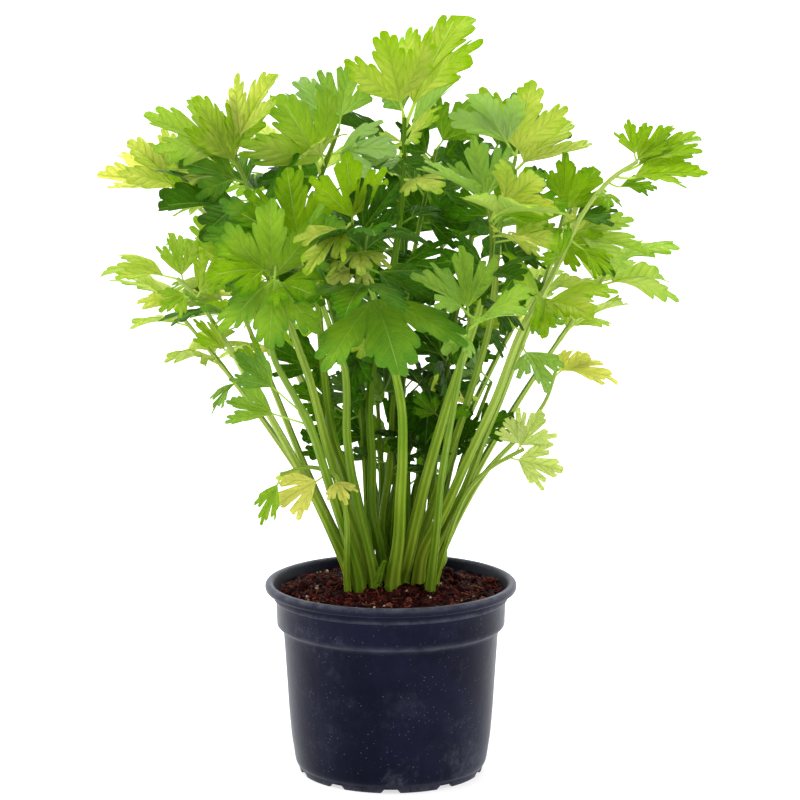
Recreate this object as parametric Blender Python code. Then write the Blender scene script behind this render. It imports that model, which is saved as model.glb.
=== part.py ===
"""Young celery plant in a round black nursery pot, standing on its foot ring.

The pot, the compost and every frond are solids of their own. All tables are in
millimetres with the origin on the pot's axis at floor level, +Z up, and the viewer
on the -Y side; meshes are made in metres.
"""
import math
import random

import bpy
import numpy as np
from mathutils import Vector
from mathutils.bvhtree import BVHTree

MM = 0.001

# Pot: rim and height of a standard 13 cm nursery pot
RIM_R = 65.0
POT_H = 100.0
WALL = 1.2
NECK_R = 60.3
COLLAR_R = 59.5
LEDGE_Z = 78.0
BODY_TOP_R = 55.7
BODY_LOW_R = 50.4
FOOT_R = 47.5
FOOT_H = 3.0
FLOOR_Z = 4.0
ROUND_SIDES = 28
NOTCHES = 10
NOTCH_W = 8.0
NOTCH_H = 2.0
DRAIN_HOLES = 6
DRAIN_R = 4.0
DRAIN_RING_R = 36.0
LIP_DROP = 4.4
LIP_WALL = 4.3
EASE = 1.4

# Compost
GAP = 0.3
SOIL_EDGE_Z = 94.5
SOIL_MOUND = 2.6
MOUND_Y = 8.0
MOUND_REACH = 34.0
LUMP = 0.5
HOLE_DEPTH = 12.0
HOLE_GAP = 0.4
SOIL_TOP = SOIL_EDGE_Z + SOIL_MOUND
HOLE_FLOOR = SOIL_TOP - HOLE_DEPTH

# Stalks
STALK_SIDES = 5
STALK_RINGS = (0.14, 0.27, 0.4, 0.54, 0.69, 0.84, 1.0)
STALK_STEPS = 64
STALK_CLEAR = 0.9
HEAD_R = 1.35
FEET_WEB = 0.7
SETTLE_ROUNDS = 60
SMOOTHINGS = 3
FREE_ABOVE = 15.0
SPREAD_ROUNDS = 400
CURVE_STEPS = 24

# Leaflets
BLADE_T = 0.7
ROOT_W = 1.2
NECK_W = 2.2
BLADE_CLEAR = 0.35
CUP = 0.012
EDGE_VARIES = 0.06
SMALL_BLADE = 42.0
NECK_SHARE = 0.2
HEAD_STEP = 4.5

# Half outline of a leaflet from base to tip: degrees off the midrib and reach from the
# top of its neck, as a share of the blade. Odd places are teeth, even ones notches.
LARGE_EDGE = ((58, 0.70), (46, 0.70), (36, 0.88), (26, 0.52), (18, 0.92), (8, 0.86))
SMALL_EDGE = ((50, 0.72), (33, 0.52), (20, 0.88), (10, 0.80))

# Fronds seen in the picture: foot on the compost, stalk radius there, the points that the
# stalk runs through (the last is its head), and the leaflets: place along the stalk, tip,
# the way its upper face looks, breadth, fold, curl and, where it is long, the neck's share.
FRONDS = {
    "frond_01": dict(
        foot=(-20, 2), girth=3.2,
        way=((-36, 0, 138), (-51, 0, 167), (-66, 0, 194), (-82, -2, 222), (-101, -4, 251), (-108, -5, 258)),
        leaves=(
            (1.0, (-149, -5, 262), (0, -0.4, 1), 0.75, 25, 30),
            (1.0, (-112, 10, 280), (0.3, -1, 0.4), 0.8, 20, 10),
            (0.97, (-116, -20, 244), (0, -0.9, 0.5), 0.8, 20, 30),
            (0.95, (-83, -16, 270), (0.1, -0.7, 0.8), 0.9, 20, 20),
            (0.96, (-92, -34, 247), (0.3, -0.8, 0.5), 0.8, 15, 30),
            (0.72, (-102, 0, 237), (-0.3, -0.8, 0.6), 0.45, 30, 20, 0.35),
            (0.7, (-92, -8, 189), (-0.8, -0.6, 0.2), 0.45, 40, 20, 0.3),
        )),
    "frond_02": dict(
        foot=(-17, 11), girth=2.8,
        way=((-28, 10, 122), (-44, 12, 157), (-58, 14, 192), (-74, 16, 232), (-84, 18, 259)),
        leaves=(
            (1.0, (-116, 34, 274), (0, -0.3, 1), 0.9, 20, 30),
            (1.0, (-80, 10, 296), (0.2, -1, 0.3), 0.9, 20, 20),
            (0.96, (-62, 0, 268), (0.2, -0.7, 0.7), 0.9, 20, 30),
            (0.72, (-78, -2, 221), (0, -0.8, 0.5), 0.8, 20, 30),
        )),
    "frond_03": dict(
        foot=(-16, -6), girth=2.8,
        way=((-22, -9, 123), (-30, -18, 151), (-40, -34, 186), (-47, -42, 202), (-58, -56, 227),
             (-60, -68, 251), (-55, -80, 276)),
        leaves=(
            (1.0, (-58, -104, 236), (0, -1, 0.3), 1.0, 12, 35),
            (1.0, (-87, -96, 272), (-0.2, -0.8, 0.7), 0.95, 15, 30),
            (0.95, (-78, -92, 250), (-0.4, -0.9, 0.3), 0.85, 15, 30),
            (0.98, (-36, -104, 264), (0.3, -0.8, 0.5), 0.9, 15, 30),
            (1.0, (-57, -90, 306), (0, -0.9, 0.4), 0.9, 15, 25),
            (0.52, (-84, -20, 197), (-0.3, -0.7, 0.6), 0.7, 25, 30, 0.42),
            (0.55, (-79, -26, 223), (-0.2, -0.8, 0.5), 0.7, 25, 20, 0.45),
        )),
    "frond_04": dict(
        foot=(-11, 4), girth=3.6,
        way=((-16, 4, 120), (-22, 3, 138), (-32, 2, 170), (-41, 0, 205), (-47, 0, 222), (-61, -4, 262),
             (-70, -8, 298), (-79, -10, 324)),
        leaves=(
            (1.0, (-58, -12, 363), (-0.5, -0.8, 0.3), 0.8, 35, 15),
            (0.99, (-77, -4, 350), (0.2, -1, 0.2), 0.9, 20, 10),
            (1.0, (-122, -16, 342), (0.1, -0.7, 0.8), 0.75, 25, 30),
            (0.99, (-100, -12, 351), (0.4, -0.9, 0.4), 0.7, 20, 10),
            (0.98, (-104, -30, 320), (-0.1, -0.8, 0.6), 0.9, 20, 25),
            (0.87, (-115, -44, 300), (-0.1, -0.7, 0.8), 0.95, 18, 30),
            (0.87, (-42, -44, 308), (0.2, -0.8, 0.6), 0.9, 20, 25),
        )),
    "frond_05": dict(
        foot=(-10, 14), girth=2.8,
        way=((-13, 8, 127), (-19, 8, 142), (-24, 7, 157), (-30, 6, 175), (-36, 2, 231), (-38, -4, 298),
             (-26, -6, 334)),
        leaves=(
            (1.0, (-20, 3, 368), (0.1, -1, 0.2), 0.95, 15, 10),
            (0.9, (-67, -20, 346), (0.2, -0.9, 0.4), 1.0, 12, 25),
            (0.99, (-44, 14, 360), (0.5, -0.8, 0.3), 0.9, 20, 10),
            (0.99, (2, -30, 327), (0.1, -0.8, 0.6), 0.9, 20, 30),
            (0.84, (-58, 16, 318), (0, -0.5, 0.8), 0.9, 20, 20),
            (0.73, (-68, -6, 264), (-0.2, -0.9, 0.4), 0.9, 15, 30),
            (0.75, (-8, -16, 276), (0.2, -0.9, 0.4), 0.9, 15, 30),
        )),
    "frond_06": dict(
        foot=(-8, -5), girth=2.8,
        way=((-17, -8, 141), (-22, -16, 176), (-23, -26, 214), (-30, -36, 237), (-40, -50, 268),
             (-49, -60, 285)),
        leaves=(
            (1.0, (-82, -88, 284), (-0.1, -0.9, 0.5), 0.95, 15, 30),
            (1.0, (-75, -68, 300), (0.1, -0.8, 0.6), 0.9, 20, 20),
            (0.95, (-24, -88, 296), (0.2, -0.8, 0.5), 0.95, 15, 25),
            (0.98, (-50, -66, 318), (0, -1, 0.3), 0.9, 15, 10),
            (0.86, (-20, -82, 270), (0.3, -0.9, 0.3), 0.9, 15, 30),
        )),
    "frond_07": dict(
        foot=(-3, 8), girth=2.8,
        way=((-10, 12, 133), (-10, 11, 163), (-11, 10, 193), (-7, 8, 221), (1, 4, 261), (6, 2, 302),
             (7, 0, 339)),
        leaves=(
            (1.0, (-4, -12, 384), (0.1, -1, 0.2), 0.9, 12, 12),
            (1.0, (34, 6, 394), (-0.6, -0.8, 0.2), 0.75, 30, 12),
            (0.99, (36, 30, 357), (-0.1, 0.6, 0.7), 0.9, 20, 20),
            (0.98, (24, -24, 341), (0.1, -0.7, 0.7), 0.8, 15, 25),
            (0.94, (-20, -20, 330), (-0.2, -0.8, 0.5), 0.8, 20, 25),
            (0.94, (16, -14, 312), (0.3, -0.8, 0.3), 0.6, 20, 25),
            (0.74, (-28, -6, 268), (-0.2, -0.9, 0.4), 0.95, 15, 30),
            (0.71, (32, -8, 262), (0.2, -0.9, 0.4), 0.95, 15, 30),
        )),
    "frond_08": dict(
        foot=(-2, 17), girth=2.6,
        way=((-5, 20, 124), (-1, 22, 154), (1, 24, 190), (5, 24, 227), (14, 22, 279), (23, 20, 321)),
        leaves=(
            (1.0, (38, 25, 349), (0, -0.9, 0.4), 0.95, 15, 20),
            (0.99, (8, 12, 341), (0.2, -0.9, 0.4), 0.8, 20, 15),
            (0.98, (54, 24, 325), (0.1, -0.6, 0.8), 0.9, 20, 30),
            (0.86, (-14, 8, 300), (-0.2, -0.8, 0.5), 0.9, 15, 30),
            (0.84, (44, 8, 284), (0.2, -0.8, 0.4), 0.9, 15, 30),
            (0.7, (-16, 14, 250), (-0.2, -0.9, 0.4), 0.9, 15, 30),
        )),
    "frond_09": dict(
        foot=(1, -6), girth=3.4,
        way=((4, -8, 123), (5, -15, 146), (6, -24, 170), (5, -36, 201), (-10, -66, 263), (-19, -80, 295)),
        leaves=(
            (1.0, (-53, -98, 282), (-0.2, -0.7, 0.8), 0.8, 30, 30),
            (1.0, (-21, -90, 330), (0.1, -1, 0.2), 0.9, 15, 15),
            (0.98, (4, -90, 316), (-0.1, -0.9, 0.4), 0.85, 20, 20),
            (0.84, (5, -118, 226), (0.1, -1, 0.3), 1.1, 10, 35),
            (0.85, (-42, -108, 248), (-0.2, -0.9, 0.4), 0.95, 15, 35),
            (0.97, (-28, -125, 288), (0, -0.3, 1), 0.9, 15, 35),
        )),
    "frond_10": dict(
        foot=(-5, 25), girth=2.8,
        way=((-5, 26, 106), (2, 30, 141), (9, 32, 164), (20, 36, 199), (28, 40, 240), (26, 44, 272)),
        leaves=(
            (1.0, (8, 34, 302), (0, -0.9, 0.4), 0.95, 15, 20),
            (1.0, (50, 56, 292), (0, -0.4, 0.8), 0.9, 20, 30),
            (0.96, (20, 22, 240), (0, -0.9, 0.3), 0.95, 15, 30),
            (0.9, (-6, 30, 252), (0, -0.8, 0.4), 0.9, 15, 30),
            (0.8, (36, 20, 205), (0.2, -0.9, 0.2), 0.85, 20, 30),
            (0.62, (18, 14, 168), (0.1, -0.9, 0.3), 0.8, 25, 30),
        )),
    "frond_11": dict(
        foot=(6, 4), girth=3.4,
        way=((8, 0, 110), (13, -4, 133), (18, -9, 155), (30, -20, 200), (44, -36, 246), (50, -50, 278),
             (48, -62, 302)),
        leaves=(
            (1.0, (17, -80, 323), (0.1, 0.1, 1), 0.9, 15, 20),
            (1.0, (40, -54, 334), (0, -1, 0.3), 0.9, 15, 15),
            (0.99, (66, -104, 308), (0, 0.5, 0.9), 1.05, 10, 25),
            (0.97, (76, -48, 318), (0.1, -0.7, 0.6), 0.9, 20, 25),
            (0.82, (64, -84, 268), (0.3, -0.9, 0.2), 0.9, 15, 30),
            (0.84, (24, -72, 276), (-0.2, -0.9, 0.4), 0.9, 15, 30),
        )),
    "frond_12": dict(
        foot=(9, 13), girth=3.0,
        way=((13, 12, 115), (19, 11, 130), (25, 10, 149), (37, 6, 186), (51, 2, 236), (55, -2, 282),
             (63, -5, 320)),
        leaves=(
            (1.0, (41, -15, 356), (-0.1, 0.5, 0.8), 0.9, 20, 15),
            (1.0, (71, 0, 358), (0.1, -1, 0.3), 0.95, 15, 15),
            (0.99, (92, 26, 334), (0.1, -0.5, 0.8), 0.9, 20, 25),
            (0.86, (30, 10, 300), (-0.1, -0.8, 0.5), 0.9, 15, 30),
            (0.86, (88, -22, 300), (0.2, -0.8, 0.5), 0.9, 15, 30),
            (0.7, (78, -12, 258), (0.2, -0.9, 0.4), 0.9, 15, 30),
        )),
    "frond_13": dict(
        foot=(20, -6), girth=2.3,
        way=((23, -8, 125), (25, -16, 151), (27, -24, 168), (32, -44, 202), (36, -64, 230), (39, -80, 250)),
        leaves=(
            (1.0, (11, -98, 272), (0, -0.6, 0.9), 0.85, 20, 25),
            (1.0, (34, -76, 284), (0, -1, 0.3), 0.8, 20, 10),
            (0.99, (64, -114, 256), (0.1, -0.5, 0.9), 0.8, 25, 30),
            (0.95, (26, -100, 236), (0, -0.9, 0.4), 0.7, 20, 30),
        )),
    "frond_14": dict(
        foot=(13, 6), girth=3.4,
        way=((16, 4, 114), (27, 2, 136), (38, -2, 162), (53, -6, 196), (66, -10, 232), (80, -14, 258),
             (96, -18, 292), (110, -20, 310), (123, -22, 319)),
        leaves=(
            (1.0, (118, -18, 340), (0.3, -1, 0.3), 0.8, 25, 10),
            (1.0, (140, -14, 336), (-0.2, -0.8, 0.5), 0.7, 25, 15),
            (1.0, (157, -10, 332), (0, -0.5, 1), 0.6, 30, 25),
            (0.99, (156, -34, 319), (0.1, -0.5, 1), 0.75, 25, 30),
            (0.94, (134, -14, 306), (0.2, -0.6, 0.8), 0.5, 30, 20),
            (0.93, (108, -40, 298), (0.1, -0.8, 0.4), 0.6, 25, 30),
            (0.8, (112, -24, 262), (0.5, -0.8, 0.3), 0.55, 25, 30, 0.3),
            (0.66, (100, -52, 247), (0.2, -0.7, 0.7), 0.95, 18, 30),
            (0.68, (60, -52, 262), (-0.1, -0.9, 0.4), 0.9, 15, 25),
            (0.76, (80, -38, 284), (0, -0.9, 0.4), 0.9, 15, 25),
        )),
    "frond_15": dict(
        foot=(17, 14), girth=3.0,
        way=((24, 20, 113), (31, 18, 128), (38, 16, 142), (49, 14, 174), (56, 12, 192), (68, 6, 226),
             (80, 0, 262), (88, -2, 292)),
        leaves=(
            (1.0, (88, -5, 322), (0.1, -1, 0.2), 0.9, 20, 15),
            (1.0, (106, 12, 314), (0.1, -0.7, 0.6), 0.9, 20, 20),
            (0.98, (127, -12, 266), (0.5, -0.7, 0.5), 0.75, 25, 35),
            (0.93, (96, -24, 264), (0.3, -0.9, 0.2), 0.9, 15, 30),
            (0.72, (84, -22, 236), (0.2, -0.8, 0.5), 0.7, 20, 30),
            (0.67, (80, -18, 203), (0.4, -0.9, 0.2), 0.8, 20, 30),
            (0.7, (42, 20, 244), (-0.2, -0.8, 0.5), 0.85, 20, 30),
        )),
    "frond_16": dict(
        foot=(22, 10), girth=1.9,
        way=((38, 14, 138), (49, 14, 155), (64, 13, 171), (70, 12, 178), (80, 11, 193), (85, 10, 209)),
        leaves=(
            (1.0, (118, 8, 204), (0.1, -0.4, 1), 0.85, 20, 30),
            (0.99, (103, 24, 216), (0.1, -0.4, 1), 0.8, 20, 25),
        )),
    "frond_17": dict(
        foot=(23, 2), girth=1.6,
        way=((38, 2, 144), (49, -2, 158), (61, -4, 166), (68, -6, 170)),
        leaves=(
            (1.0, (59, -8, 187), (0.2, -1, 0.2), 0.75, 20, 15),
            (1.0, (78, -4, 190), (0, -0.9, 0.4), 0.85, 20, 20),
            (0.98, (89, -12, 160), (0.3, -0.9, 0.3), 0.85, 20, 30),
        )),
    "frond_18": dict(
        foot=(-22, -8), girth=1.6,
        way=((-23, -14, 135), (-28, -18, 157), (-41, -20, 163), (-56, -22, 160)),
        leaves=(
            (1.0, (-66, -24, 134), (-0.3, -0.9, 0.3), 0.55, 25, 20),
            (0.76, (-55, -32, 141), (-0.1, -0.9, 0.5), 0.8, 15, 30),
            (0.72, (-33, -32, 141), (0.1, -0.9, 0.5), 0.75, 15, 30),
        )),
    "frond_19": dict(
        foot=(-13, 22), girth=2.6,
        way=((-22, 30, 125), (-37, 40, 177), (-69, 48, 239), (-92, 50, 279), (-110, 52, 296)),
        leaves=(
            (1.0, (-154.8, 56, 304), (0, -0.5, 1), 0.85, 18, 25),
            (0.99, (-136, 48, 324), (0.2, -0.8, 0.6), 0.85, 20, 15),
            (0.97, (-112, 60, 330), (0.2, -0.9, 0.3), 0.9, 20, 10),
            (0.95, (-96, 28, 318), (0.2, -0.8, 0.5), 0.9, 15, 25),
            (0.85, (-118, 62, 262), (-0.3, 0.2, 0.9), 0.9, 20, 30),
            (0.84, (-62, 70, 276), (0.2, 0.3, 0.9), 0.9, 20, 30),
        )),
}

# Fronds at the back and sides: foot, stalk radius, head, bow, and size of the leaflets
HIDDEN = {
    "frond_20": ((-3, 32), 2.6, (-52, 82, 300), 0.35, 1.0),
    "frond_21": ((5, 22), 2.6, (6, 66, 330), 0.3, 1.0),
    "frond_22": ((12, 22), 2.6, (52, 62, 312), 0.35, 1.0),
    "frond_23": ((-20, 19), 2.4, (-112, 54, 232), 0.3, 0.9),
    "frond_24": ((21, 20), 2.6, (112, 48, 252), 0.3, 1.0),
    "frond_25": ((12, 30), 2.4, (80, 80, 248), 0.35, 0.95),
    "frond_26": ((-10, 30), 2.4, (-68, 78, 230), 0.35, 0.95),
    "frond_27": ((4, 31), 2.6, (8, 80, 272), 0.4, 1.0),
}
# One such frond's leaflets: place along the stalk, degrees off its run, length, droop
SPRAY = ((1.0, 4, 50, 0.30), (0.97, 60, 46, 0.12), (0.95, -64, 46, 0.12), (0.82, 66, 42, 0.0),
         (0.8, -62, 42, 0.0))
SPRAY_TURN = 10.0
SPRAY_DROOP = 0.15
SPRAY_OUT = 0.25
SEED = 20

# Turns and sizes tried on a leaflet that meets another
SWING_SIZES = (1.0, 0.88, 0.76, 0.64)
SWING_REACHES = (8, 16, 26, 38)
SWING_WAYS = 8
OWN_SHARE = 0.3


def clear_scene():
    for thing in list(bpy.data.objects):
        bpy.data.objects.remove(thing, do_unlink=True)


def finish_material(name, colour, roughness):
    made = bpy.data.materials.new(name)
    made.use_nodes = True
    shader = made.node_tree.nodes["Principled BSDF"]
    shader.inputs["Base Color"].default_value = (*colour, 1.0)
    shader.inputs["Roughness"].default_value = roughness
    shader.inputs["Metallic"].default_value = 0.0
    made.diffuse_color = (*colour, 1.0)
    return made


def solid_object(name, points, faces):
    """A closed mesh from points in millimetres."""
    mesh = bpy.data.meshes.new(name)
    mesh.from_pydata([tuple(c * MM for c in p) for p in points], [], faces)
    mesh.validate()
    thing = bpy.data.objects.new(name, mesh)
    bpy.context.scene.collection.objects.link(thing)
    return thing


def apply_modifiers(thing):
    view = bpy.context.evaluated_depsgraph_get()
    shaped = bpy.data.meshes.new_from_object(thing.evaluated_get(view))
    thing.modifiers.clear()
    thing.data = shaped


def fuse(body, others, operation, solver="EXACT"):
    """Joins the others to the body, or cuts them from it, in one Boolean."""
    group = bpy.data.collections.new(body.name + "_parts")
    bpy.context.scene.collection.children.link(group)
    for thing in others:
        bpy.context.scene.collection.objects.unlink(thing)
        group.objects.link(thing)
    step = body.modifiers.new(operation.lower(), "BOOLEAN")
    step.operation = operation
    step.operand_type = "COLLECTION"
    step.collection = group
    step.solver = solver
    apply_modifiers(body)
    for thing in others:
        bpy.data.objects.remove(thing, do_unlink=True)
    bpy.data.collections.remove(group)


def turned(profile, sides):
    """Points and faces of an (r, z) profile, bottom centre to top centre, turned round +Z."""
    points, rings = [], []
    for r, z in profile:
        if r == 0:
            rings.append([len(points)] * sides)
            points.append((0.0, 0.0, z))
            continue
        rings.append(list(range(len(points), len(points) + sides)))
        for k in range(sides):
            a = math.tau * k / sides
            points.append((r * math.cos(a), r * math.sin(a), z))
    faces = []
    for low, high in zip(rings, rings[1:]):
        for k in range(sides):
            m = (k + 1) % sides
            corners = [low[k], low[m], high[m], high[k]]
            faces.append(tuple(dict.fromkeys(corners)))
    return points, faces


def inner_wall():
    """The pot's inside from the floor up to the mouth, as (r, z)."""
    return [(FOOT_R - 1.0, FLOOR_Z + WALL), (BODY_LOW_R - WALL, FLOOR_Z + 6),
            (BODY_TOP_R - WALL, LEDGE_Z - 2), (COLLAR_R - WALL, LEDGE_Z + 2),
            (NECK_R - WALL, POT_H - 7)]


def make_pot():
    foot_in = FOOT_R - 2.4
    outside = [(0, FLOOR_Z), (foot_in, FLOOR_Z), (foot_in + 0.4, 0), (FOOT_R, 0),
               (FOOT_R + 0.3, FOOT_H), (FOOT_R + 1.6, FOOT_H + EASE), (BODY_LOW_R, FOOT_H + 6),
               (BODY_LOW_R + 2.8, LEDGE_Z / 2 + 6),
               (BODY_TOP_R, LEDGE_Z - 2.6), (COLLAR_R - 0.6, LEDGE_Z), (COLLAR_R, POT_H - 9.5),
               (NECK_R + 0.4, POT_H - 8.4), (NECK_R, POT_H - 5.0)]
    lip = [(RIM_R - 0.3, POT_H - LIP_DROP), (RIM_R - 0.2, POT_H - EASE), (RIM_R - EASE, POT_H),
           (RIM_R - LIP_WALL + EASE, POT_H), (RIM_R - LIP_WALL, POT_H - EASE)]
    inside = inner_wall()[::-1] + [(0, FLOOR_Z + WALL)]
    pot = solid_object("pot", *turned(outside + lip + inside, ROUND_SIDES))
    cutters = []
    for k in range(NOTCHES):
        a = math.tau * (k + 0.5) / NOTCHES
        low = [(FOOT_R - 8, -NOTCH_W / 2), (FOOT_R + 8, -NOTCH_W / 2), (FOOT_R + 8, NOTCH_W / 2),
               (FOOT_R - 8, NOTCH_W / 2)]
        ring = [(x * math.cos(a) - y * math.sin(a), x * math.sin(a) + y * math.cos(a)) for x, y in low]
        cutters.append(prism(f"notch_{k}", ring, -5, NOTCH_H))
    for k in range(DRAIN_HOLES):
        a = math.tau * k / DRAIN_HOLES
        centre = (DRAIN_RING_R * math.cos(a), DRAIN_RING_R * math.sin(a))
        cutters.append(prism(f"drain_{k}", round_ring(centre, DRAIN_R, 8), FLOOR_Z - 3, FLOOR_Z + 4))
    fuse(pot, cutters, "DIFFERENCE")
    pot.data.materials.clear()
    pot.data.materials.append(finish_material("pot_plastic", (0.012, 0.014, 0.022), 0.42))
    return pot


def round_ring(centre, radius, sides):
    turns = [math.tau * k / sides for k in range(sides)]
    return [(centre[0] + radius * math.cos(a), centre[1] + radius * math.sin(a)) for a in turns]


def prism(name, ring, low, high):
    """A straight cutter over a ring of (x, y), from one height to another."""
    n = len(ring)
    points = [(x, y, low) for x, y in ring] + [(x, y, high) for x, y in ring]
    faces = [tuple(range(n))[::-1], tuple(range(n, 2 * n))]
    faces += [(k, (k + 1) % n, n + (k + 1) % n, n + k) for k in range(n)]
    return solid_object(name, points, faces)


def soil_height(x, y):
    """The compost's surface: a low mound round the stems, with lumps."""
    r = math.hypot(x, y - MOUND_Y)
    lumps = math.sin(0.31 * x + 1.1) * math.cos(0.27 * y) + 0.6 * math.sin(0.63 * x - 0.52 * y)
    return SOIL_EDGE_Z + SOIL_MOUND * math.exp(-(r / MOUND_REACH) ** 2) + LUMP * lumps


def make_soil(feet, radii):
    floor, low, *upper = inner_wall()
    walls = [(floor[0] - GAP, floor[1] + GAP)] + [(r - GAP, z) for r, z in upper]
    walls[-1] = (walls[-1][0], SOIL_EDGE_Z - 1.5)
    edge = walls[-1][0]
    rings = [(edge - 0.6, None)] + [(edge * f, None) for f in (0.8, 0.55, 0.28)]
    profile = [(0, walls[0][1])] + walls + rings + [(0, None)]
    points, faces = turned([(r, z or 0.0) for r, z in profile], ROUND_SIDES)
    lowest_top = 1 + len(walls) * ROUND_SIDES
    shaped = [p if k < lowest_top else (p[0], p[1], soil_height(p[0], p[1])) for k, p in enumerate(points)]
    soil = solid_object("soil", shaped, faces)
    holes = []
    for k, (foot, r) in enumerate(zip(feet, radii)):
        ring = round_ring(foot, r + HOLE_GAP, STALK_SIDES)
        holes.append(prism(f"hole_{k}", ring, HOLE_FLOOR, SOIL_TOP + 20))
    fuse(soil, holes, "DIFFERENCE")
    soil.data.materials.clear()
    soil.data.materials.append(finish_material("potting_soil", (0.055, 0.026, 0.017), 0.95))
    return soil


def spread_feet(feet, radii):
    """Moves the feet apart until each has a hole of its own with compost between."""
    feet = np.array(feet, float)
    reach = np.array(radii) + HOLE_GAP
    for _ in range(SPREAD_ROUNDS):
        apart = feet[:, None] - feet[None]
        span = np.linalg.norm(apart, axis=2)
        np.fill_diagonal(span, np.inf)
        short = np.maximum(reach[:, None] + reach[None] + FEET_WEB - span, 0)
        feet = feet + 0.5 * (apart / span[..., None] * short[..., None]).sum(axis=1)
    return feet


def through(points, count):
    """Evenly spaced points on a smooth curve through the given ones."""
    p = np.array(points, float)
    p = np.vstack([2 * p[0] - p[1], p, 2 * p[-1] - p[-2]])
    t = np.concatenate([[0], np.cumsum(np.linalg.norm(np.diff(p, axis=0), axis=1) ** 0.5)])
    dense = []
    for k in range(1, len(p) - 2):
        h = t[k + 1] - t[k]
        m0 = slope(p, t, k) * h
        m1 = slope(p, t, k + 1) * h
        u = np.linspace(0, 1, CURVE_STEPS, endpoint=False)[:, None]
        dense.append((2 * u**3 - 3 * u**2 + 1) * p[k] + (u**3 - 2 * u**2 + u) * m0
                     + (3 * u**2 - 2 * u**3) * p[k + 1] + (u**3 - u**2) * m1)
    dense = np.vstack(dense + [p[-2:-1]])
    run = np.concatenate([[0], np.cumsum(np.linalg.norm(np.diff(dense, axis=0), axis=1))])
    at = np.linspace(0, run[-1], count)
    return np.stack([np.interp(at, run, dense[:, axis]) for axis in range(3)], axis=1)


def slope(p, t, k):
    return ((p[k] - p[k - 1]) / (t[k] - t[k - 1]) - (p[k + 1] - p[k - 1]) / (t[k + 1] - t[k - 1])
            + (p[k + 1] - p[k]) / (t[k + 1] - t[k]))


def bowed(foot, head, bow):
    """The way of a stalk that leaves the clump upright and leans out as it rises."""
    base = np.array([foot[0], foot[1], SOIL_TOP])
    way = np.array(head, float) - base
    return [tuple(base + way * (f ** (1 + bow), f ** (1 + bow), f)) for f in (0.3, 0.55, 0.8, 1.0)]


def stalk_radius(girth, share):
    """Radius along a stalk: a sheath at the foot, slim at the head."""
    slim = girth + (HEAD_R - girth) * share ** 0.85
    return max(slim, HEAD_R)


def settle(ways, girths):
    """Bends the stalks clear of each other, smoothly, keeping their feet."""
    start = np.array(ways)
    shift = np.zeros_like(start)
    shares = np.linspace(0, 1, STALK_STEPS)
    radii = np.array([[stalk_radius(g, s) for s in shares] for g in girths])
    free = np.clip((start[:, :, 2] - SOIL_TOP) / FREE_ABOVE, 0, 1)[..., None]
    for _ in range(SETTLE_ROUNDS):
        now = start + shift
        push = np.zeros_like(start)
        for i in range(len(now)):
            for j in range(i + 1, len(now)):
                apart = now[i][:, None] - now[j][None]
                span = np.linalg.norm(apart, axis=2)
                short = radii[i][:, None] + radii[j][None] + STALK_CLEAR - span
                if short.max() <= 0:
                    continue
                away = apart / span[..., None] * np.maximum(short, 0)[..., None]
                push[i] += 0.5 * largest(away, 1)
                push[j] -= 0.5 * largest(away, 0)
        shift += push
        for _ in range(SMOOTHINGS):
            shift[:, 1:-1] = 0.25 * shift[:, :-2] + 0.5 * shift[:, 1:-1] + 0.25 * shift[:, 2:]
        shift *= free
    return start + shift


def largest(vectors, axis):
    """The longest of the vectors along one axis of a table of them."""
    size = np.linalg.norm(vectors, axis=2)
    best = np.expand_dims(size.argmax(axis=axis), (axis, 2))
    return np.take_along_axis(vectors, best, axis=axis).squeeze(axis)


def at_share(way, share):
    """Point and direction on a stalk at a share of its length."""
    place = share * (len(way) - 1)
    k = min(int(place), len(way) - 2)
    run = way[k + 1] - way[k]
    return Vector(way[k] + run * (place - k)), Vector(run).normalized()


def ring_shares(way):
    """Where along a stalk its rings stand: two in its hole, the rest up to the head."""
    in_hole = (SOIL_TOP + 0.5 - way[0][2]) / np.linalg.norm(np.diff(way, axis=0), axis=1).sum()
    return (0.0, in_hole) + STALK_RINGS


def on_stalk(way, share):
    """Point on the straight runs between a stalk's rings, and the direction there."""
    shares = ring_shares(way)
    k = max(n for n in range(len(shares) - 1) if shares[n] <= share)
    low, high = at_share(way, shares[k])[0], at_share(way, shares[k + 1])[0]
    part = (share - shares[k]) / (shares[k + 1] - shares[k])
    return low.lerp(high, part), (high - low).normalized()


def stalk_mesh(way, girth):
    """A tapered tube: upright in its hole, then along the way to the head."""
    points, rings = [], []
    shares = ring_shares(way)
    for share in shares:
        centre, run = at_share(way, share)
        if share <= shares[1]:
            run = Vector((0, 0, 1))
        side = Vector((0, 1, 0)).cross(run).normalized()
        front = run.cross(side)
        r = stalk_radius(girth, share)
        rings.append(range(len(points), len(points) + STALK_SIDES))
        for k in range(STALK_SIDES):
            a = math.tau * k / STALK_SIDES
            points.append(centre + side * r * math.cos(a) + front * r * math.sin(a))
    faces = [tuple(rings[0])[::-1], tuple(rings[-1])]
    for low, high in zip(rings, rings[1:]):
        for k in range(STALK_SIDES):
            m = (k + 1) % STALK_SIDES
            faces.append((low[k], low[m], high[m], high[k]))
    return points, faces


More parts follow.
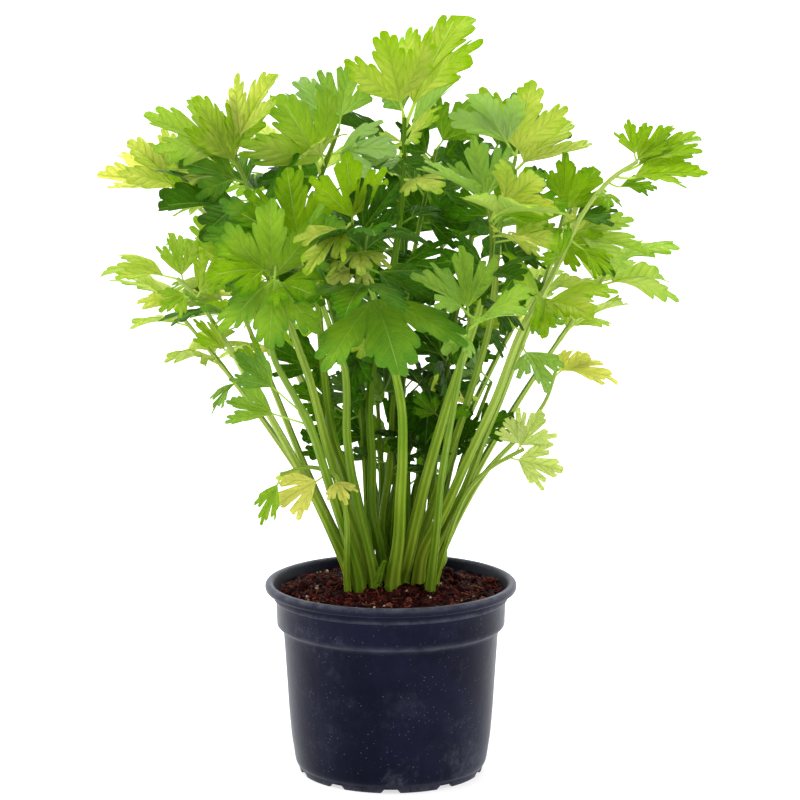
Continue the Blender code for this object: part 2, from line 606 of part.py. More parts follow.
class Leaflet:
    """Where a leaflet sits and how its blade folds along the midrib and curls to its tip."""

    def __init__(self, root, tip, face, breadth, fold, curl, neck, seed):
        self.root, self.tip, self.face = root, tip, face
        self.breadth, self.fold, self.curl, self.neck, self.seed = breadth, fold, curl, neck, seed

    def turned(self, yaw, pitch, size):
        """The same leaflet swung about its root and resized, to clear what it met."""
        along = self.tip - self.root
        ahead = along.normalized()
        up = (self.face - ahead * self.face.dot(ahead)).normalized()
        side = ahead.cross(up)
        swung = ahead + side * math.tan(math.radians(yaw)) + up * math.tan(math.radians(pitch))
        tip = self.root + swung.normalized() * along.length * size
        return Leaflet(self.root, tip, self.face, self.breadth, self.fold, self.curl, self.neck, self.seed)

    def frame(self):
        along = self.tip - self.root
        ahead = along.normalized()
        up = (self.face - ahead * self.face.dot(ahead)).normalized()
        bend = math.radians(self.curl)
        radius = along.length / (2 * math.sin(bend / 2))
        return ahead, up, ahead.cross(up), bend, radius

    def place(self, s, t):
        """Middle of the blade, s (0 to 1) along its midrib and t mm across, and its normal."""
        ahead, up, side, bend, radius = self.frame()
        lean = bend / 2 - s * bend
        rise = -ahead * math.sin(lean) + up * math.cos(lean)
        point = self.root + ahead * radius * (math.sin(bend / 2) - math.sin(lean))
        point = point + up * radius * (math.cos(lean) - math.cos(bend / 2))
        fold = math.radians(self.fold)
        hang = abs(t) * math.sin(fold) - CUP * t * t
        point = point + side * t * math.cos(fold) + rise * hang
        if not t:
            return point, rise
        return point, rise * math.cos(fold) - side * math.copysign(math.sin(fold), t)

    def run(self):
        """Length of the blade along its midrib."""
        bend = math.radians(self.curl)
        return (self.tip - self.root).length / (2 * math.sin(bend / 2)) * bend


def half_edge(leaf):
    """The edge's teeth and notches on one side, as (share along the midrib, mm across)."""
    draw = random.Random(leaf.seed)
    length = leaf.run()
    edge = SMALL_EDGE if length < SMALL_BLADE else LARGE_EDGE
    blade = length * (1 - leaf.neck)
    made = []
    for degrees, reach in edge:
        a = math.radians(degrees)
        r = reach * blade * draw.uniform(1 - EDGE_VARIES, 1 + EDGE_VARIES)
        made.append((leaf.neck + r * math.cos(a) / length, r * math.sin(a) * leaf.breadth))
    return made


def blade_mesh(leaf, thick):
    """A lobed leaflet as a thin closed solid, both faces split alike."""
    right = half_edge(leaf)
    flat = [(0.0, -ROOT_W / 2), (0.0, ROOT_W / 2), (leaf.neck, NECK_W / 2)] + right + [(1.0, 0.0)]
    flat += [(s, -t) for s, t in reversed(right)] + [(leaf.neck, -NECK_W / 2)]
    edge = list(range(len(flat)))
    n = len(right)
    rib = len(flat)
    flat.append((0.4 + 0.6 * leaf.neck, 0.0))
    tip = 3 + n
    halves = []
    for sign in (1, -1):
        at = [(3 + k) if sign > 0 else (tip + n - k) for k in range(n)]
        base = 2 if sign > 0 else edge[-1]
        fan = [(base, at[0], at[1])]
        fan += [(at[k - 1], at[k], at[k + 1]) for k in range(2, n, 2)]
        inner = [base] + at[1::2] + [tip]
        fan += [(a, b, rib) for a, b in zip(inner, inner[1:])]
        halves += fan if sign > 0 else [face[::-1] for face in fan]
    halves += [(0, 1, 2), (0, 2, edge[-1]), (edge[-1], 2, rib)]
    spots = [leaf.place(s, t) for s, t in flat]
    half = thick / 2
    mitre = 1 / math.cos(math.radians(leaf.fold))
    lifts = [half * (mitre if t == 0 else 1.0) for s, t in flat]
    top = [p + normal * lift for (p, normal), lift in zip(spots, lifts)]
    low = [p - normal * lift for (p, normal), lift in zip(spots, lifts)]
    k = len(flat)
    faces = halves + [tuple(v + k for v in face[::-1]) for face in halves]
    for a, b in zip(edge, edge[1:] + edge[:1]):
        faces.append((b, a, a + k))
        faces.append((b, a + k, b + k))
    return top + low, faces


def sprayed(way, size, seed):
    """Leaflets for a frond whose own are hidden: a head of three and a pair below."""
    draw = random.Random(seed)
    made = []
    for share, degrees, length, droop in SPRAY:
        root, run = on_stalk(way, share)
        out = Vector((root.x, root.y - MOUND_Y, 0)).normalized()
        side = run.cross(Vector((0, 0, 1))).normalized()
        a = math.radians(degrees + draw.uniform(-SPRAY_TURN, SPRAY_TURN))
        droop += draw.uniform(-SPRAY_DROOP, SPRAY_DROOP)
        ahead = run * math.cos(a) + side * math.sin(a) - Vector((0, 0, droop)) + out * SPRAY_OUT
        root -= run
        tip = root + ahead.normalized() * length * size * draw.uniform(0.88, 1.12)
        face = Vector((draw.uniform(-0.3, 0.3), draw.uniform(-0.3, 0.3), 1)) + out * 0.35
        made.append(Leaflet(root, tip, face, draw.uniform(0.85, 1.0), draw.uniform(12, 24),
                            draw.uniform(20, 38), NECK_SHARE, draw.randrange(9999)))
    return made


def chosen(way, leaves, seed):
    """The leaflets of the table; those of the head leave the stalk one after another."""
    length = np.linalg.norm(np.diff(way, axis=0), axis=1).sum()
    made = []
    for k, (share, tip, face, breadth, fold, curl, *neck) in enumerate(leaves):
        root, run = on_stalk(way, min(share, 1 - k * HEAD_STEP / length))
        neck = neck[0] if neck else NECK_SHARE
        made.append(Leaflet(root - run, Vector(tip), Vector(face), breadth, fold, curl, neck,
                            seed * 100 + k))
    return made


def swings():
    """Small turns to try on a leaflet that meets another, smallest first."""
    yield 0, 0, 1.0
    for size in SWING_SIZES:
        for reach in SWING_REACHES:
            for k in range(SWING_WAYS):
                a = math.tau * k / SWING_WAYS
                yield reach * math.cos(a), reach * math.sin(a), size


def tree(points, faces):
    return BVHTree.FromPolygons([tuple(p) for p in points], [tuple(f) for f in faces])


def outer_share(leaf):
    """The blade past its neck, which keeps off its own frond too."""
    points, faces = blade_mesh(leaf, BLADE_T)
    near = {k for k, p in enumerate(points) if (p - leaf.root).length < OWN_SHARE * leaf.run()}
    return tree(points, [f for f in faces if not near & set(f)])


def place_leaflets(ways, girths, leaflets):
    """Bends each leaflet clear of other fronds and of its neighbours on its own."""
    stalks = [tree(*stalk_mesh(way, girth + BLADE_CLEAR)) for way, girth in zip(ways, girths)]
    placed = [[] for _ in ways]
    for i, wanted in enumerate(leaflets):
        others = [stalk for j, stalk in enumerate(stalks) if j != i]
        others += [whole for j in range(i) for leaf, whole, outer in placed[j]]
        for leaf in wanted:
            own = [outer for kept, whole, outer in placed[i]]
            for yaw, pitch, size in swings():
                trial = leaf.turned(yaw, pitch, size) if (yaw or pitch or size != 1) else leaf
                wide = tree(*blade_mesh(trial, BLADE_T + 2 * BLADE_CLEAR))
                if any(wide.overlap(other) for other in others):
                    continue
                outer = outer_share(trial)
                if outer.overlap(stalks[i]) or any(outer.overlap(other) for other in own):
                    continue
                placed[i].append((trial, tree(*blade_mesh(trial, BLADE_T)), outer))
                break
    return [[leaf for leaf, whole, outer in row] for row in placed]


def plan():
    """Names, settled stalk ways, girths, feet and placed leaflets of all fronds."""
    names = list(FRONDS) + list(HIDDEN)
    girths = [FRONDS[n]["girth"] for n in FRONDS] + [HIDDEN[n][1] for n in HIDDEN]
    feet = spread_feet([FRONDS[n]["foot"] for n in FRONDS] + [HIDDEN[n][0] for n in HIDDEN], girths)
    ways = []
    for name, foot in zip(names, feet):
        above = FRONDS[name]["way"] if name in FRONDS else bowed(foot, *HIDDEN[name][2:4])
        x, y = foot
        start = [(x, y, HOLE_FLOOR + GAP), (x, y, SOIL_TOP), (x * 1.02, y, SOIL_TOP + 4)]
        ways.append(through(start + list(above), STALK_STEPS))
    ways = settle(ways, girths)
    leaflets = []
    for k, (name, way) in enumerate(zip(names, ways)):
        if name in FRONDS:
            leaflets.append(chosen(way, FRONDS[name]["leaves"], k))
        else:
            leaflets.append(sprayed(way, HIDDEN[name][4], SEED + k))
    return names, ways, girths, feet, place_leaflets(ways, girths, leaflets)


def make_frond(name, way, girth, leaflets, finish):
    stalk = solid_object(name, *stalk_mesh(way, girth))
    blades = [solid_object(f"{name}_leaflet_{k}", *blade_mesh(leaf, BLADE_T))
              for k, leaf in enumerate(leaflets)]
    if blades:
        fuse(stalk, blades, "UNION", "MANIFOLD")
    stalk.data.materials.clear()
    stalk.data.materials.append(finish)
    return stalk


def main():
    clear_scene()
    names, ways, girths, feet, leaflets = plan()
    make_pot()
    make_soil(feet, girths)
    green = finish_material("celery", (0.22, 0.42, 0.06), 0.45)
    for name, way, girth, leaves in zip(names, ways, girths, leaflets):
        make_frond(name, way, girth, leaves, green)


main()
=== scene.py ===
"""Potted celery seedling: the finer pot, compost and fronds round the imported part.

The tables and the plan of stalks and leaflets repeat the part's source, in millimetres,
with the origin on the pot's axis at floor level and the viewer on the -Y side. Every
finer piece stands where its own solid stands.
"""
import math
import random
from dataclasses import dataclass, replace
from itertools import combinations

import bmesh
import bpy
import numpy as np
from bpy.props import FloatProperty, FloatVectorProperty, IntProperty, PointerProperty
from bpy.types import Operator, Panel, PropertyGroup
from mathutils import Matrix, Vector, noise
from mathutils.bvhtree import BVHTree


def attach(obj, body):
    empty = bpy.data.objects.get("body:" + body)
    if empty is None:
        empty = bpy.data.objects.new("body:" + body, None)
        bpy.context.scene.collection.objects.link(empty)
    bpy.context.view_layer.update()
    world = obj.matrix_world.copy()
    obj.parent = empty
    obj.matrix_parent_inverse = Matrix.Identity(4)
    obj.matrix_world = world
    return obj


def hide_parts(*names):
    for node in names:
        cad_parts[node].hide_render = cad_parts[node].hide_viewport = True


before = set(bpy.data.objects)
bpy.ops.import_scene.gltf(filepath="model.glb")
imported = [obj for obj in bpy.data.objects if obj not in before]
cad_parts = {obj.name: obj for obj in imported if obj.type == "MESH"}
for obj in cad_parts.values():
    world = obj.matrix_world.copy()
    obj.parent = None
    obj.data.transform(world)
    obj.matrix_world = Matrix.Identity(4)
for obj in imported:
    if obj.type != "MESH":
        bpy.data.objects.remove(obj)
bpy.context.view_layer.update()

bl_info = {
    "name": "Potted celery seedling",
    "version": (1, 0, 0),
    "blender": (4, 5, 0),
    "location": "3D View > Sidebar > Celery",
    "description": "Builds a potted celery seedling: pot, compost, leafy fronds and a plain stage",
    "category": "Add Mesh",
}

MM = 0.001
UP = Vector((0, 0, 1))

# Pot: foot ring with its notches, floor and drain holes
FOOT_R = 47.5
FOOT_DEPTH = 3.0
FLOOR_Z = 4.0
NOTCHES = 10
NOTCH_W = 8.0
NOTCH_H = 2.0
DRAIN_HOLES = 6
DRAIN_R = 4.0
DRAIN_RING_R = 36.0
DRAIN_SIDES = 28
DRAIN_BORE = (FLOOR_Z - 2, FLOOR_Z, FLOOR_Z + 3)

# Compost: a low mound with lumps, and the stalks' holes in it
GAP = 0.3
SOIL_EDGE_Z = 94.5
SOIL_MOUND = 2.6
MOUND_Y = 8.0
MOUND_REACH = 34.0
LUMP = 0.5
HOLE_DEPTH = 12.0
HOLE_GAP = 0.4
SOIL_TOP = SOIL_EDGE_Z + SOIL_MOUND
HOLE_FLOOR = SOIL_TOP - HOLE_DEPTH

# Stalks
STALK_SIDES = 5
STALK_RINGS = (0.14, 0.27, 0.4, 0.54, 0.69, 0.84, 1.0)
STALK_STEPS = 64
SHARES = np.linspace(0, 1, STALK_STEPS)
STALK_CLEAR = 0.9
HEAD_R = 1.35
SLIMS = 0.85
FEET_WEB = 0.7
SETTLE_ROUNDS = 60
SMOOTHINGS = 3
FREE_ABOVE = 15.0
SPREAD_ROUNDS = 400
CURVE_STEPS = 24
BOW_HEIGHTS = (0.3, 0.55, 0.8, 1.0)

# Leaflets
BLADE_T = 0.7
ROOT_W = 1.2
NECK_W = 2.2
BLADE_CLEAR = 0.35
CUP = 0.012
EDGE_VARIES = 0.06
RIB_AT = 0.4
SMALL_BLADE = 42.0
NECK_SHARE = 0.2
HEAD_STEP = 4.5
SEEDS = 9999

# Half outline of a leaflet from base to tip: degrees off the midrib and reach from the
# top of its neck, as a share of the blade. Odd places are teeth, even ones notches.
LARGE_EDGE = ((58, 0.70), (46, 0.70), (36, 0.88), (26, 0.52), (18, 0.92), (8, 0.86))
SMALL_EDGE = ((50, 0.72), (33, 0.52), (20, 0.88), (10, 0.80))

# Fronds seen in the picture: foot on the compost, stalk radius there, the points that the
# stalk runs through (the last is its head), and the leaflets: place along the stalk, tip,
# the way its upper face looks, breadth, fold, curl, tone (0 dark green to 1 yellow), its
# painted bluish sheen, a painted reflection, and, where it is long, the neck's share.
FRONDS = {
    "frond_01": (
        (-20, 2), 3.2,
        ((-36, 0, 138), (-51, 0, 167), (-66, 0, 194), (-82, -2, 222), (-101, -4, 251), (-108, -5, 258)),
        ((1.0, (-149, -5, 262), (0, -0.4, 1), 0.75, 25, 30, 0.78, 0),
         (1.0, (-112, 10, 280), (0.3, -1, 0.4), 0.8, 20, 10, 0.68, 0.1),
         (0.97, (-116, -20, 244), (0, -0.9, 0.5), 0.8, 20, 30, 0.62, 0.1),
         (0.95, (-83, -16, 270), (0.1, -0.7, 0.8), 0.9, 20, 20, 0.66, 0),
         (0.96, (-92, -34, 247), (0.3, -0.8, 0.5), 0.8, 15, 30, 0.5, 0.1),
         (0.72, (-102, 0, 237), (-0.3, -0.8, 0.6), 0.45, 30, 20, 0.68, 0, 0.35),
         (0.7, (-92, -8, 189), (-0.8, -0.6, 0.2), 0.45, 40, 20, 0.45, 0.3, 0.3))),
    "frond_02": (
        (-17, 11), 2.8,
        ((-28, 10, 122), (-44, 12, 157), (-58, 14, 192), (-74, 16, 232), (-84, 18, 259)),
        ((1.0, (-116, 34, 274), (0, -0.3, 1), 0.9, 20, 30, 0.68, 0),
         (1.0, (-80, 10, 296), (0.2, -1, 0.3), 0.9, 20, 20, 0.62, 0.1),
         (0.96, (-62, 0, 268), (0.2, -0.7, 0.7), 0.9, 20, 30, 0.55, 0),
         (0.72, (-78, -2, 221), (0, -0.8, 0.5), 0.8, 20, 30, 0.5, 0.1))),
    "frond_03": (
        (-16, -6), 2.8,
        ((-22, -9, 123), (-30, -18, 151), (-40, -34, 186), (-47, -42, 202), (-58, -56, 227),
         (-60, -68, 251), (-55, -80, 276)),
        ((1.0, (-58, -104, 236), (0, -1, 0.3), 1.0, 12, 35, 0.5, 0.1),
         (1.0, (-87, -96, 272), (-0.2, -0.8, 0.7), 0.95, 15, 30, 0.5, 0),
         (0.95, (-78, -92, 250), (-0.4, -0.9, 0.3), 0.85, 15, 30, 0.4, 0.1),
         (0.98, (-36, -104, 264), (0.3, -0.8, 0.5), 0.9, 15, 30, 0.5, 0),
         (1.0, (-57, -90, 306), (0, -0.9, 0.4), 0.9, 15, 25, 0.55, 0.1),
         (0.52, (-84, -20, 197), (-0.3, -0.7, 0.6), 0.7, 25, 30, 0.5, 0.2, 0.42),
         (0.55, (-79, -26, 223), (-0.2, -0.8, 0.5), 0.7, 25, 20, 0.42, 0.2, 0.45))),
    "frond_04": (
        (-11, 4), 3.6,
        ((-16, 4, 120), (-22, 3, 138), (-32, 2, 170), (-41, 0, 205), (-47, 0, 222), (-61, -4, 262),
         (-70, -8, 298), (-79, -10, 324)),
        ((1.0, (-58, -12, 363), (-0.5, -0.8, 0.3), 0.8, 35, 15, 0.84, 0),
         (0.99, (-77, -4, 350), (0.2, -1, 0.2), 0.9, 20, 10, 0.74, 0.2),
         (1.0, (-122, -16, 342), (0.1, -0.7, 0.8), 0.75, 25, 30, 0.74, 0.2),
         (0.99, (-100, -12, 351), (0.4, -0.9, 0.4), 0.7, 20, 10, 0.68, 0),
         (0.98, (-104, -30, 320), (-0.1, -0.8, 0.6), 0.9, 20, 25, 0.36, 0.1),
         (0.87, (-115, -44, 300), (-0.1, -0.7, 0.8), 0.95, 18, 30, 0.2, 0.05),
         (0.87, (-42, -44, 308), (0.2, -0.8, 0.6), 0.9, 20, 25, 0.25, 0))),
    "frond_05": (
        (-10, 14), 2.8,
        ((-13, 8, 127), (-19, 8, 142), (-24, 7, 157), (-30, 6, 175), (-36, 2, 231), (-38, -4, 298),
         (-26, -6, 334)),
        ((1.0, (-20, 3, 368), (0.1, -1, 0.2), 0.95, 15, 10, 0.52, 0.3),
         (0.9, (-67, -20, 346), (0.2, -0.9, 0.4), 1.0, 12, 25, 0.68, 0.1),
         (0.99, (-44, 14, 360), (0.5, -0.8, 0.3), 0.9, 20, 10, 0.5, 0.5),
         (0.99, (2, -30, 327), (0.1, -0.8, 0.6), 0.9, 20, 30, 0.5, 0.6),
         (0.84, (-58, 16, 318), (0, -0.5, 0.8), 0.9, 20, 20, 0.3, 0),
         (0.73, (-68, -6, 264), (-0.2, -0.9, 0.4), 0.9, 15, 30, 0.3, 0),
         (0.75, (-8, -16, 276), (0.2, -0.9, 0.4), 0.9, 15, 30, 0.2, 0))),
    "frond_06": (
        (-8, -5), 2.8,
        ((-17, -8, 141), (-22, -16, 176), (-23, -26, 214), (-30, -36, 237), (-40, -50, 268),
         (-49, -60, 285)),
        ((1.0, (-82, -88, 284), (-0.1, -0.9, 0.5), 0.95, 15, 30, 0.34, 0.1),
         (1.0, (-75, -68, 300), (0.1, -0.8, 0.6), 0.9, 20, 20, 0.42, 0),
         (0.95, (-24, -88, 296), (0.2, -0.8, 0.5), 0.95, 15, 25, 0.45, 0.1),
         (0.98, (-50, -66, 318), (0, -1, 0.3), 0.9, 15, 10, 0.5, 0),
         (0.86, (-20, -82, 270), (0.3, -0.9, 0.3), 0.9, 15, 30, 0.35, 0))),
    "frond_07": (
        (-3, 8), 2.8,
        ((-10, 12, 133), (-10, 11, 163), (-11, 10, 193), (-7, 8, 221), (1, 4, 261), (6, 2, 302),
         (7, 0, 339)),
        ((1.0, (-4, -12, 384), (0.1, -1, 0.2), 0.9, 12, 12, 0.78, 0),
         (1.0, (34, 6, 394), (-0.6, -0.8, 0.2), 0.75, 30, 12, 0.75, 0),
         (0.99, (36, 30, 357), (-0.1, 0.6, 0.7), 0.9, 20, 20, 0.55, 0.6),
         (0.98, (24, -24, 341), (0.1, -0.7, 0.7), 0.8, 15, 25, 0.8, 0),
         (0.94, (-20, -20, 330), (-0.2, -0.8, 0.5), 0.8, 20, 25, 0.45, 0.3),
         (0.94, (16, -14, 312), (0.3, -0.8, 0.3), 0.6, 20, 25, 0.2, 0.1),
         (0.74, (-28, -6, 268), (-0.2, -0.9, 0.4), 0.95, 15, 30, 0.2, 0),
         (0.71, (32, -8, 262), (0.2, -0.9, 0.4), 0.95, 15, 30, 0.2, 0))),
    "frond_08": (
        (-2, 17), 2.6,
        ((-5, 20, 124), (-1, 22, 154), (1, 24, 190), (5, 24, 227), (14, 22, 279), (23, 20, 321)),
        ((1.0, (38, 25, 349), (0, -0.9, 0.4), 0.95, 15, 20, 0.5, 0.1),
         (0.99, (8, 12, 341), (0.2, -0.9, 0.4), 0.8, 20, 15, 0.15, 0),
         (0.98, (54, 24, 325), (0.1, -0.6, 0.8), 0.9, 20, 30, 0.3, 0),
         (0.86, (-14, 8, 300), (-0.2, -0.8, 0.5), 0.9, 15, 30, 0.1, 0),
         (0.84, (44, 8, 284), (0.2, -0.8, 0.4), 0.9, 15, 30, 0.15, 0),
         (0.7, (-16, 14, 250), (-0.2, -0.9, 0.4), 0.9, 15, 30, 0.1, 0))),
    "frond_09": (
        (1, -6), 3.4,
        ((4, -8, 123), (5, -15, 146), (6, -24, 170), (5, -36, 201), (-10, -66, 263), (-19, -80, 295)),
        ((1.0, (-53, -98, 282), (-0.2, -0.7, 0.8), 0.8, 30, 30, 0.8, 0),
         (1.0, (-21, -90, 330), (0.1, -1, 0.2), 0.9, 15, 15, 0.6, 0),
         (0.98, (4, -90, 316), (-0.1, -0.9, 0.4), 0.85, 20, 20, 0.12, 0.1),
         (0.84, (5, -118, 226), (0.1, -1, 0.3), 1.1, 10, 35, 0.4, 0.1),
         (0.85, (-42, -108, 248), (-0.2, -0.9, 0.4), 0.95, 15, 35, 0.35, 0),
         (0.97, (-28, -125, 288), (0, -0.3, 1), 0.9, 15, 35, 0.16, 0))),
    "frond_10": (
        (-5, 25), 2.8,
        ((-5, 26, 106), (2, 30, 141), (9, 32, 164), (20, 36, 199), (28, 40, 240), (26, 44, 272)),
        ((1.0, (8, 34, 302), (0, -0.9, 0.4), 0.95, 15, 20, 0.15, 0),
         (1.0, (50, 56, 292), (0, -0.4, 0.8), 0.9, 20, 30, 0.3, 0),
         (0.96, (20, 22, 240), (0, -0.9, 0.3), 0.95, 15, 30, 0.1, 0),
         (0.9, (-6, 30, 252), (0, -0.8, 0.4), 0.9, 15, 30, 0.12, 0),
         (0.8, (36, 20, 205), (0.2, -0.9, 0.2), 0.85, 20, 30, 0.1, 0),
         (0.62, (18, 14, 168), (0.1, -0.9, 0.3), 0.8, 25, 30, 0.12, 0))),
    "frond_11": (
        (6, 4), 3.4,
        ((8, 0, 110), (13, -4, 133), (18, -9, 155), (30, -20, 200), (44, -36, 246), (50, -50, 278),
         (48, -62, 302)),
        ((1.0, (17, -80, 323), (0.1, 0.1, 1), 0.9, 15, 20, 0.55, 0.8),
         (1.0, (40, -54, 334), (0, -1, 0.3), 0.9, 15, 15, 0.5, 0.3),
         (0.99, (66, -104, 308), (0, 0.5, 0.9), 1.05, 10, 25, 0.76, 0.1),
         (0.97, (76, -48, 318), (0.1, -0.7, 0.6), 0.9, 20, 25, 0.44, 0),
         (0.82, (64, -84, 268), (0.3, -0.9, 0.2), 0.9, 15, 30, 0.18, 0),
         (0.84, (24, -72, 276), (-0.2, -0.9, 0.4), 0.9, 15, 30, 0.15, 0))),
    "frond_12": (
        (9, 13), 3.0,
        ((13, 12, 115), (19, 11, 130), (25, 10, 149), (37, 6, 186), (51, 2, 236), (55, -2, 282),
         (63, -5, 320)),
        ((1.0, (41, -15, 356), (-0.1, 0.5, 0.8), 0.9, 20, 15, 0.55, 0.9),
         (1.0, (71, 0, 358), (0.1, -1, 0.3), 0.95, 15, 15, 0.78, 0),
         (0.99, (92, 26, 334), (0.1, -0.5, 0.8), 0.9, 20, 25, 0.88, 0),
         (0.86, (30, 10, 300), (-0.1, -0.8, 0.5), 0.9, 15, 30, 0.3, 0),
         (0.86, (88, -22, 300), (0.2, -0.8, 0.5), 0.9, 15, 30, 0.5, 0),
         (0.7, (78, -12, 258), (0.2, -0.9, 0.4), 0.9, 15, 30, 0.3, 0))),
    "frond_13": (
        (20, -6), 2.3,
        ((23, -8, 125), (25, -16, 151), (27, -24, 168), (32, -44, 202), (36, -64, 230), (39, -80, 250)),
        ((1.0, (11, -98, 272), (0, -0.6, 0.9), 0.85, 20, 25, 0.55, 0.25),
         (1.0, (34, -76, 284), (0, -1, 0.3), 0.8, 20, 10, 0.62, 0.2),
         (0.99, (64, -114, 256), (0.1, -0.5, 0.9), 0.8, 25, 30, 0.6, 0.3),
         (0.95, (26, -100, 236), (0, -0.9, 0.4), 0.7, 20, 30, 0.5, 0.4))),
    "frond_14": (
        (13, 6), 3.4,
        ((16, 4, 114), (27, 2, 136), (38, -2, 162), (53, -6, 196), (66, -10, 232), (80, -14, 258),
         (96, -18, 292), (110, -20, 310), (123, -22, 319)),
        ((1.0, (118, -18, 340), (0.3, -1, 0.3), 0.8, 25, 10, 0.58, 0),
         (1.0, (140, -14, 336), (-0.2, -0.8, 0.5), 0.7, 25, 15, 0.66, 0),
         (1.0, (157, -10, 332), (0, -0.5, 1), 0.6, 30, 25, 0.7, 0),
         (0.99, (156, -34, 319), (0.1, -0.5, 1), 0.75, 25, 30, 0.68, 0),
         (0.94, (134, -14, 306), (0.2, -0.6, 0.8), 0.5, 30, 20, 0.45, 0),
         (0.93, (108, -40, 298), (0.1, -0.8, 0.4), 0.6, 25, 30, 0.5, 0),
         (0.8, (112, -24, 262), (0.5, -0.8, 0.3), 0.55, 25, 30, 0.62, 0, 0.3),
         (0.66, (100, -52, 247), (0.2, -0.7, 0.7), 0.95, 18, 30, 0.76, 0),
         (0.68, (60, -52, 262), (-0.1, -0.9, 0.4), 0.9, 15, 25, 0.62, 0),
         (0.76, (80, -38, 284), (0, -0.9, 0.4), 0.9, 15, 25, 0.5, 0))),
    "frond_15": (
        (17, 14), 3.0,
        ((24, 20, 113), (31, 18, 128), (38, 16, 142), (49, 14, 174), (56, 12, 192), (68, 6, 226),
         (80, 0, 262), (88, -2, 292)),
        ((1.0, (88, -5, 322), (0.1, -1, 0.2), 0.9, 20, 15, 0.5, 0),
         (1.0, (106, 12, 314), (0.1, -0.7, 0.6), 0.9, 20, 20, 0.6, 0),
         (0.98, (127, -12, 266), (0.5, -0.7, 0.5), 0.75, 25, 35, 0.72, 0.3),
         (0.93, (96, -24, 264), (0.3, -0.9, 0.2), 0.9, 15, 30, 0.62, 0),
         (0.72, (84, -22, 236), (0.2, -0.8, 0.5), 0.7, 20, 30, 0.45, 0.5),
         (0.67, (80, -18, 203), (0.4, -0.9, 0.2), 0.8, 20, 30, 0.5, 0.5),
         (0.7, (42, 20, 244), (-0.2, -0.8, 0.5), 0.85, 20, 30, 0.75, 0))),
    "frond_16": (
        (22, 10), 1.9,
        ((38, 14, 138), (49, 14, 155), (64, 13, 171), (70, 12, 178), (80, 11, 193), (85, 10, 209)),
        ((1.0, (118, 8, 204), (0.1, -0.4, 1), 0.85, 20, 30, 1.2, 0),
         (0.99, (103, 24, 216), (0.1, -0.4, 1), 0.8, 20, 25, 1.15, 0))),
    "frond_17": (
        (23, 2), 1.6,
        ((38, 2, 144), (49, -2, 158), (61, -4, 166), (68, -6, 170)),
        ((1.0, (59, -8, 187), (0.2, -1, 0.2), 0.75, 20, 15, 1.3, 0.55),
         (1.0, (78, -4, 190), (0, -0.9, 0.4), 0.85, 20, 20, 1.3, 0.6),
         (0.98, (89, -12, 160), (0.3, -0.9, 0.3), 0.85, 20, 30, 1.3, 0.55))),
    "frond_18": (
        (-22, -8), 1.6,
        ((-23, -14, 135), (-28, -18, 157), (-41, -20, 163), (-56, -22, 160)),
        ((1.0, (-66, -24, 134), (-0.3, -0.9, 0.3), 0.55, 25, 20, 0.6, 0.1),
         (0.76, (-55, -32, 141), (-0.1, -0.9, 0.5), 0.8, 15, 30, 1.25, 0),
         (0.72, (-33, -32, 141), (0.1, -0.9, 0.5), 0.75, 15, 30, 1.1, 0))),
    "frond_19": (
        (-13, 22), 2.6,
        ((-22, 30, 125), (-37, 40, 177), (-69, 48, 239), (-92, 50, 279), (-110, 52, 296)),
        ((1.0, (-154.8, 56, 304), (0, -0.5, 1), 0.85, 18, 25, 1.05, 0),
         (0.99, (-136, 48, 324), (0.2, -0.8, 0.6), 0.85, 20, 15, 0.92, 0),
         (0.97, (-112, 60, 330), (0.2, -0.9, 0.3), 0.9, 20, 10, 0.8, 0),
         (0.95, (-96, 28, 318), (0.2, -0.8, 0.5), 0.9, 15, 25, 0.6, 0),
         (0.85, (-118, 62, 262), (-0.3, 0.2, 0.9), 0.9, 20, 30, 0.65, 0),
         (0.84, (-62, 70, 276), (0.2, 0.3, 0.9), 0.9, 20, 30, 0.6, 0))),
}

# Fronds at the back and sides: foot, stalk radius, head, bow, and size of the leaflets
HIDDEN = {
    "frond_20": ((-3, 32), 2.6, (-52, 82, 300), 0.35, 1.0),
    "frond_21": ((5, 22), 2.6, (6, 66, 330), 0.3, 1.0),
    "frond_22": ((12, 22), 2.6, (52, 62, 312), 0.35, 1.0),
    "frond_23": ((-20, 19), 2.4, (-112, 54, 232), 0.3, 0.9),
    "frond_24": ((21, 20), 2.6, (112, 48, 252), 0.3, 1.0),
    "frond_25": ((12, 30), 2.4, (80, 80, 248), 0.35, 0.95),
    "frond_26": ((-10, 30), 2.4, (-68, 78, 230), 0.35, 0.95),
    "frond_27": ((4, 31), 2.6, (8, 80, 272), 0.4, 1.0),
}
# One such frond's leaflets: place along the stalk, degrees off its run, length, droop
SPRAY = ((1.0, 4, 50, 0.30), (0.97, 60, 46, 0.12), (0.95, -64, 46, 0.12), (0.82, 66, 42, 0.0),
         (0.8, -62, 42, 0.0))
SPRAY_TURN = 10.0
SPRAY_DROOP = 0.15
SPRAY_OUT = 0.25
SPRAY_SIZES = (0.88, 1.12)
SPRAY_FACE = 0.35
SPRAY_TILT = (-0.3, 0.3)
SEED = 20

# Limits of a drawn leaflet's breadth, fold, curl and neck
SPRAY_SHAPE = ((0.85, 1.0), (12, 24), (20, 38))
YOUNG_SHAPE = ((0.8, 1.0), (10, 24), (15, 40), (0.2, 0.3))
FILL_SHAPE = ((0.8, 1.0), (10, 26), (15, 40), (0.2, 0.34))

# Turns and sizes tried on a leaflet that meets another
SWING_SIZES = (1.0, 0.88, 0.76, 0.64)
SWING_REACHES = (8, 16, 26, 38)
SWING_WAYS = 8
OWN_SHARE = 0.3

